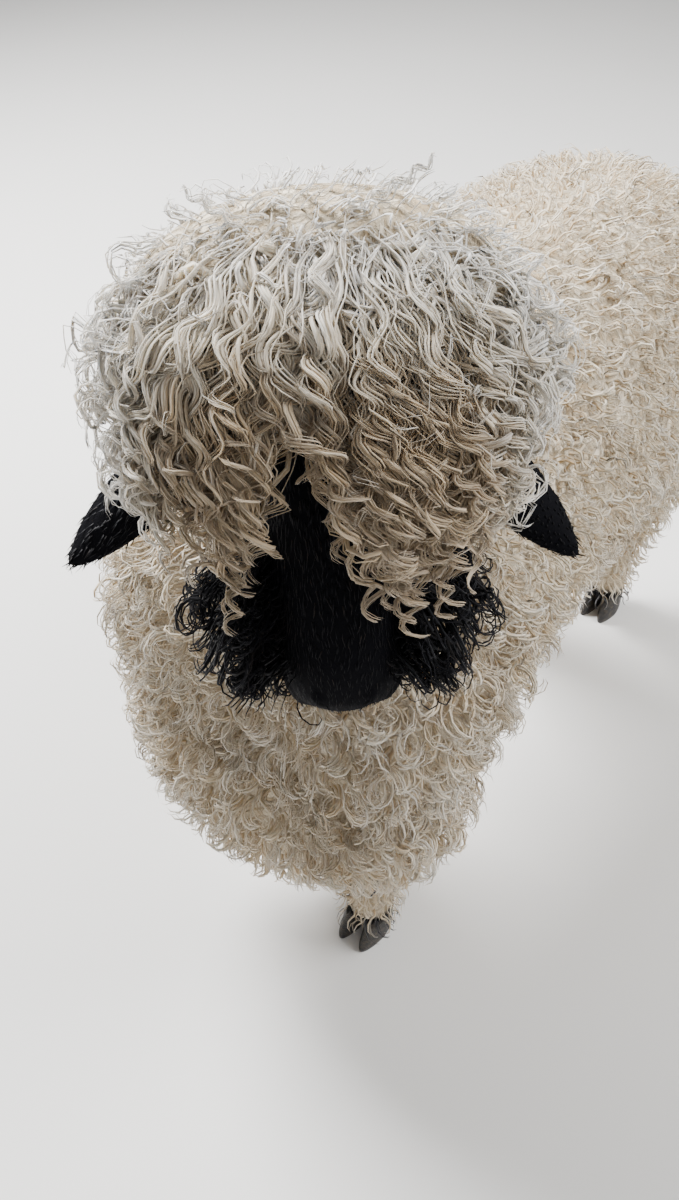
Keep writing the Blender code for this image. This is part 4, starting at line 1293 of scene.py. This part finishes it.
def cheekCurls():
    look = cheekWool
    own = np.random.default_rng(look["seed"])
    roots, normals = rootsOn(look["spacing"], own, lambda p: within(p, look, mirrored=True))
    s, n, f = inHead(roots)
    still = np.zeros(len(s))
    aside, out, down = look["stand"]
    normals = unit(normals + headWay(np.sign(s) * aside, still + out, still + down))
    fade = smooth(*look["fadeTop"], f) * smooth(*look["fadeEnd"], f) * smooth(*look["fadeEye"], n)
    lie = unit(headWay(still, still - 0.2, still + 1.0))
    small, full = look["size"]
    arrays = curledLocks(roots, normals, own, look, small + (full - small) * fade, lie)
    arrays["dark"] = smooth(*look["greyEnds"], f)
    coatPieces("cheekCurls", "black_hide", "head", arrays)


cheekCurls()

# Short hair on face, ears and pasterns
shortHair = {
    "spacing": 0.0040, "steps": 2, "lockSpacing": 0.006, "sway": 0.6, "loose": 1.0,
    "turns": 0.2, "rise": 0.0018, "reach": 0.0066, "curl": 0.0004, "upFast": 1.5,
    "forwardSlow": 1.0, "gather": 0.3, "sink": 0.0006, "thickness": 0.00060, "paleness": 1.0,
    "flat": 0.6,
    "offEye": 0.0165,
    "footHeights": (0.034, 0.075),
    "footSize": 1.3, "faceSize": 1.25,
    "muzzle": (0.16, 0.235), "muzzleLess": 0.40,  # down the face, and how much shorter there
    "seed": 42,
}


def faceHair():
    look = shortHair
    own = np.random.default_rng(look["seed"])
    eyes = [eyeAxes(side)[0] for side in (1, -1)]
    low, high = look["footHeights"]

    def keep(p):
        hairy = np.maximum(blackness(p), earBlackness(p)) > 0.4
        clear = np.minimum(*[np.linalg.norm(p - eye, axis=1) for eye in eyes]) > look["offEye"]
        return hairy & clear & ((p[:, 2] > 0.5) | (p[:, 2] < high)) & (p[:, 2] > low)

    roots, normals = rootsOn(look["spacing"], own, keep)
    s, _, f = inHead(roots)
    onFoot = roots[:, 2] < 0.1
    onEar = (earBlackness(roots) > 0.4) & (f < 0.2) & ~onFoot & (np.abs(s) > 0.05)
    lie = np.where(onEar[:, None], unit(across * np.sign(s)[:, None] + downFace), downFace)
    lie = np.where(onFoot[:, None], -zUp, lie)
    onFace = look["faceSize"] - look["muzzleLess"] * smooth(*look["muzzle"], f)
    scale = np.where(onFoot, look["footSize"], onFace)
    arrays = curledLocks(roots, normals, own, look, scale, lie)
    arrays["dark"] = np.where(onFoot, blackness(roots), 1.0)
    arrays["flat"] = np.full(len(roots), look["flat"])
    coatPieces("shortHair", "black_hide", "head", arrays)


faceHair()


# Eyes: smooth balls with a level pupil
eyeLook = {
    "gap": 0.0002,  # between the ball and the lids
    "pupil": (0.42, 0.16), "iris": 0.66,  # as shares of the ball's radius
}


def makeEye(side, word):
    place, axes = eyeAxes(side)
    r = headShape["eyeRadius"] - eyeLook["gap"]
    points, faces = ball(place, (r, r, r), axes, 48, 24)
    level = unit(np.cross(zUp, axes[2]))
    upright = np.cross(axes[2], level)
    away = (points - place) / r
    wide, high, front = away @ level, away @ upright, away @ axes[2]
    pupilWide, pupilHigh = eyeLook["pupil"]
    pupil = np.sqrt((wide / pupilWide) ** 2 + (high / pupilHigh) ** 2)
    iris = np.sqrt(wide**2 + high**2) / eyeLook["iris"]
    zone = np.where(pupil < 1.15, 0.30 * pupil, 0.36 + 0.40 * np.clip(iris, 0, 1.6))
    zone = np.where(front < 0, 1.0, np.clip(zone, 0, 1))
    eye = addMesh(f"eyeball_{word}", points, faces, eyeWet, values={"zone": zone})
    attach(eye, "root")
    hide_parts(f"eye_{word}")


for eyeSide, eyeWord in ((1, "left"), (-1, "right")):
    makeEye(eyeSide, eyeWord)
print("eyes made")

# Hooves: two claws a foot, rounded at the toe and flat underneath
claw = {
    "length": 0.056, "width": 0.0245, "split": 0.0030,
    # height, then shares of width and length, and how far it is set back
    "profile": (
        (0.0, 0.97, 0.985, 0.0), (0.0015, 1.0, 1.0, 0.0002),
        (0.012, 1.0, 0.96, 0.002), (0.036, 0.86, 0.78, 0.008),
    ),
}


def makeClaw(leg, inner):
    side, foot = feet[leg]
    apart = (claw["width"] + claw["split"]) / 2 * (-side if inner else side)
    a = 2 * math.pi * np.arange(40) / 40
    toe = np.maximum(0, -np.sin(a))
    rings = []
    for z, wide, long, back in finer(claw["profile"], 14):
        growth = 1 + 0.006 * math.sin(z * 1500)
        x = np.cos(a) * claw["width"] / 2 * wide * (1 - 0.25 * toe) * growth
        y = np.sin(a) * claw["length"] / 2 * long * (1 + 0.10 * toe) * growth
        rings.append(np.stack((side * footX + apart + x, foot + back + y, np.full(40, z)), 1))
    points, faces = loft(rings)
    word = "inner" if inner else "outer"
    piece = addMesh(f"claw_{leg}_{word}", points, faces, horn)
    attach(piece, "root")
    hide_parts(f"hoof_{leg}_{word}")


for legName in feet:
    for isInner in (True, False):
        makeClaw(legName, isInner)
print("hooves made")

# Studio: pale floor, soft light, and the camera above and in front of the animal's left
studio = {
    "floor": (0.80, 0.79, 0.77),
    "floorHalf": 8.0,
    "sky": (0.92, 0.92, 0.92),
    "skyStrength": 0.32,
    "cameraPlace": (0.363, -0.737, 1.080),
    "cameraWay": (-0.581, 0.814),
    "cameraPitch": 46.1,
    "lens": 30,
    # place, what it points at, width, watts
    "lamps": {
        "key": ((-1.8, 0.2, 2.4), (0.0, -0.1, 0.50), 1.1, 285),
        "fill": ((1.9, -1.6, 1.7), (0.0, 0.0, 0.4), 2.0, 6),
        "back": ((1.6, 1.1, 2.3), (0.05, -0.3, 0.75), 1.3, 105),
    },
}


def makeStudio():
    material, tree, shader = newMaterial("paleFloor", {"Roughness": 0.85})
    grain = node(tree, "ShaderNodeTexNoise", Scale=30.0, Detail=6.0).outputs["Fac"]
    dull = tuple(0.97 * c for c in studio["floor"])
    tree.links.new(ramp(tree, grain, (0.3, studio["floor"]), (0.8, dull)), shader.inputs["Base Color"])
    half = studio["floorHalf"]
    corners = np.array([(x * half, y * half, 0.0) for x, y in ((-1, -1), (1, -1), (1, 1), (-1, 1))])
    floor = addMesh("floor", corners, [(0, 1, 2), (0, 2, 3)], material)
    world = bpy.data.worlds.new("studio")
    world.use_nodes = True
    world.node_tree.nodes["Background"].inputs["Color"].default_value = (*studio["sky"], 1)
    world.node_tree.nodes["Background"].inputs["Strength"].default_value = studio["skyStrength"]
    bpy.context.scene.world = world
    for name, (place, aim, width, watts) in studio["lamps"].items():
        light = bpy.data.lights.new(name, "AREA")
        light.size = width
        light.energy = watts
        lamp = bpy.data.objects.new(name, light)
        lamp.location = place
        lamp.rotation_euler = (Vector(aim) - Vector(place)).to_track_quat("-Z", "Y").to_euler()
        bpy.context.scene.collection.objects.link(lamp)


def makeCamera():
    pitch = math.radians(studio["cameraPitch"])
    way = Vector((*studio["cameraWay"], 0)).normalized() * math.cos(pitch)
    way.z = -math.sin(pitch)
    lens = bpy.data.cameras.new("camera")
    lens.lens = studio["lens"]
    camera = bpy.data.objects.new("camera", lens)
    camera.location = Vector(studio["cameraPlace"]) + Vector(shift)
    camera.rotation_euler = way.to_track_quat("-Z", "Y").to_euler()
    bpy.context.scene.collection.objects.link(camera)
    bpy.context.scene.camera = camera


makeStudio()
makeCamera()
print("studio made")
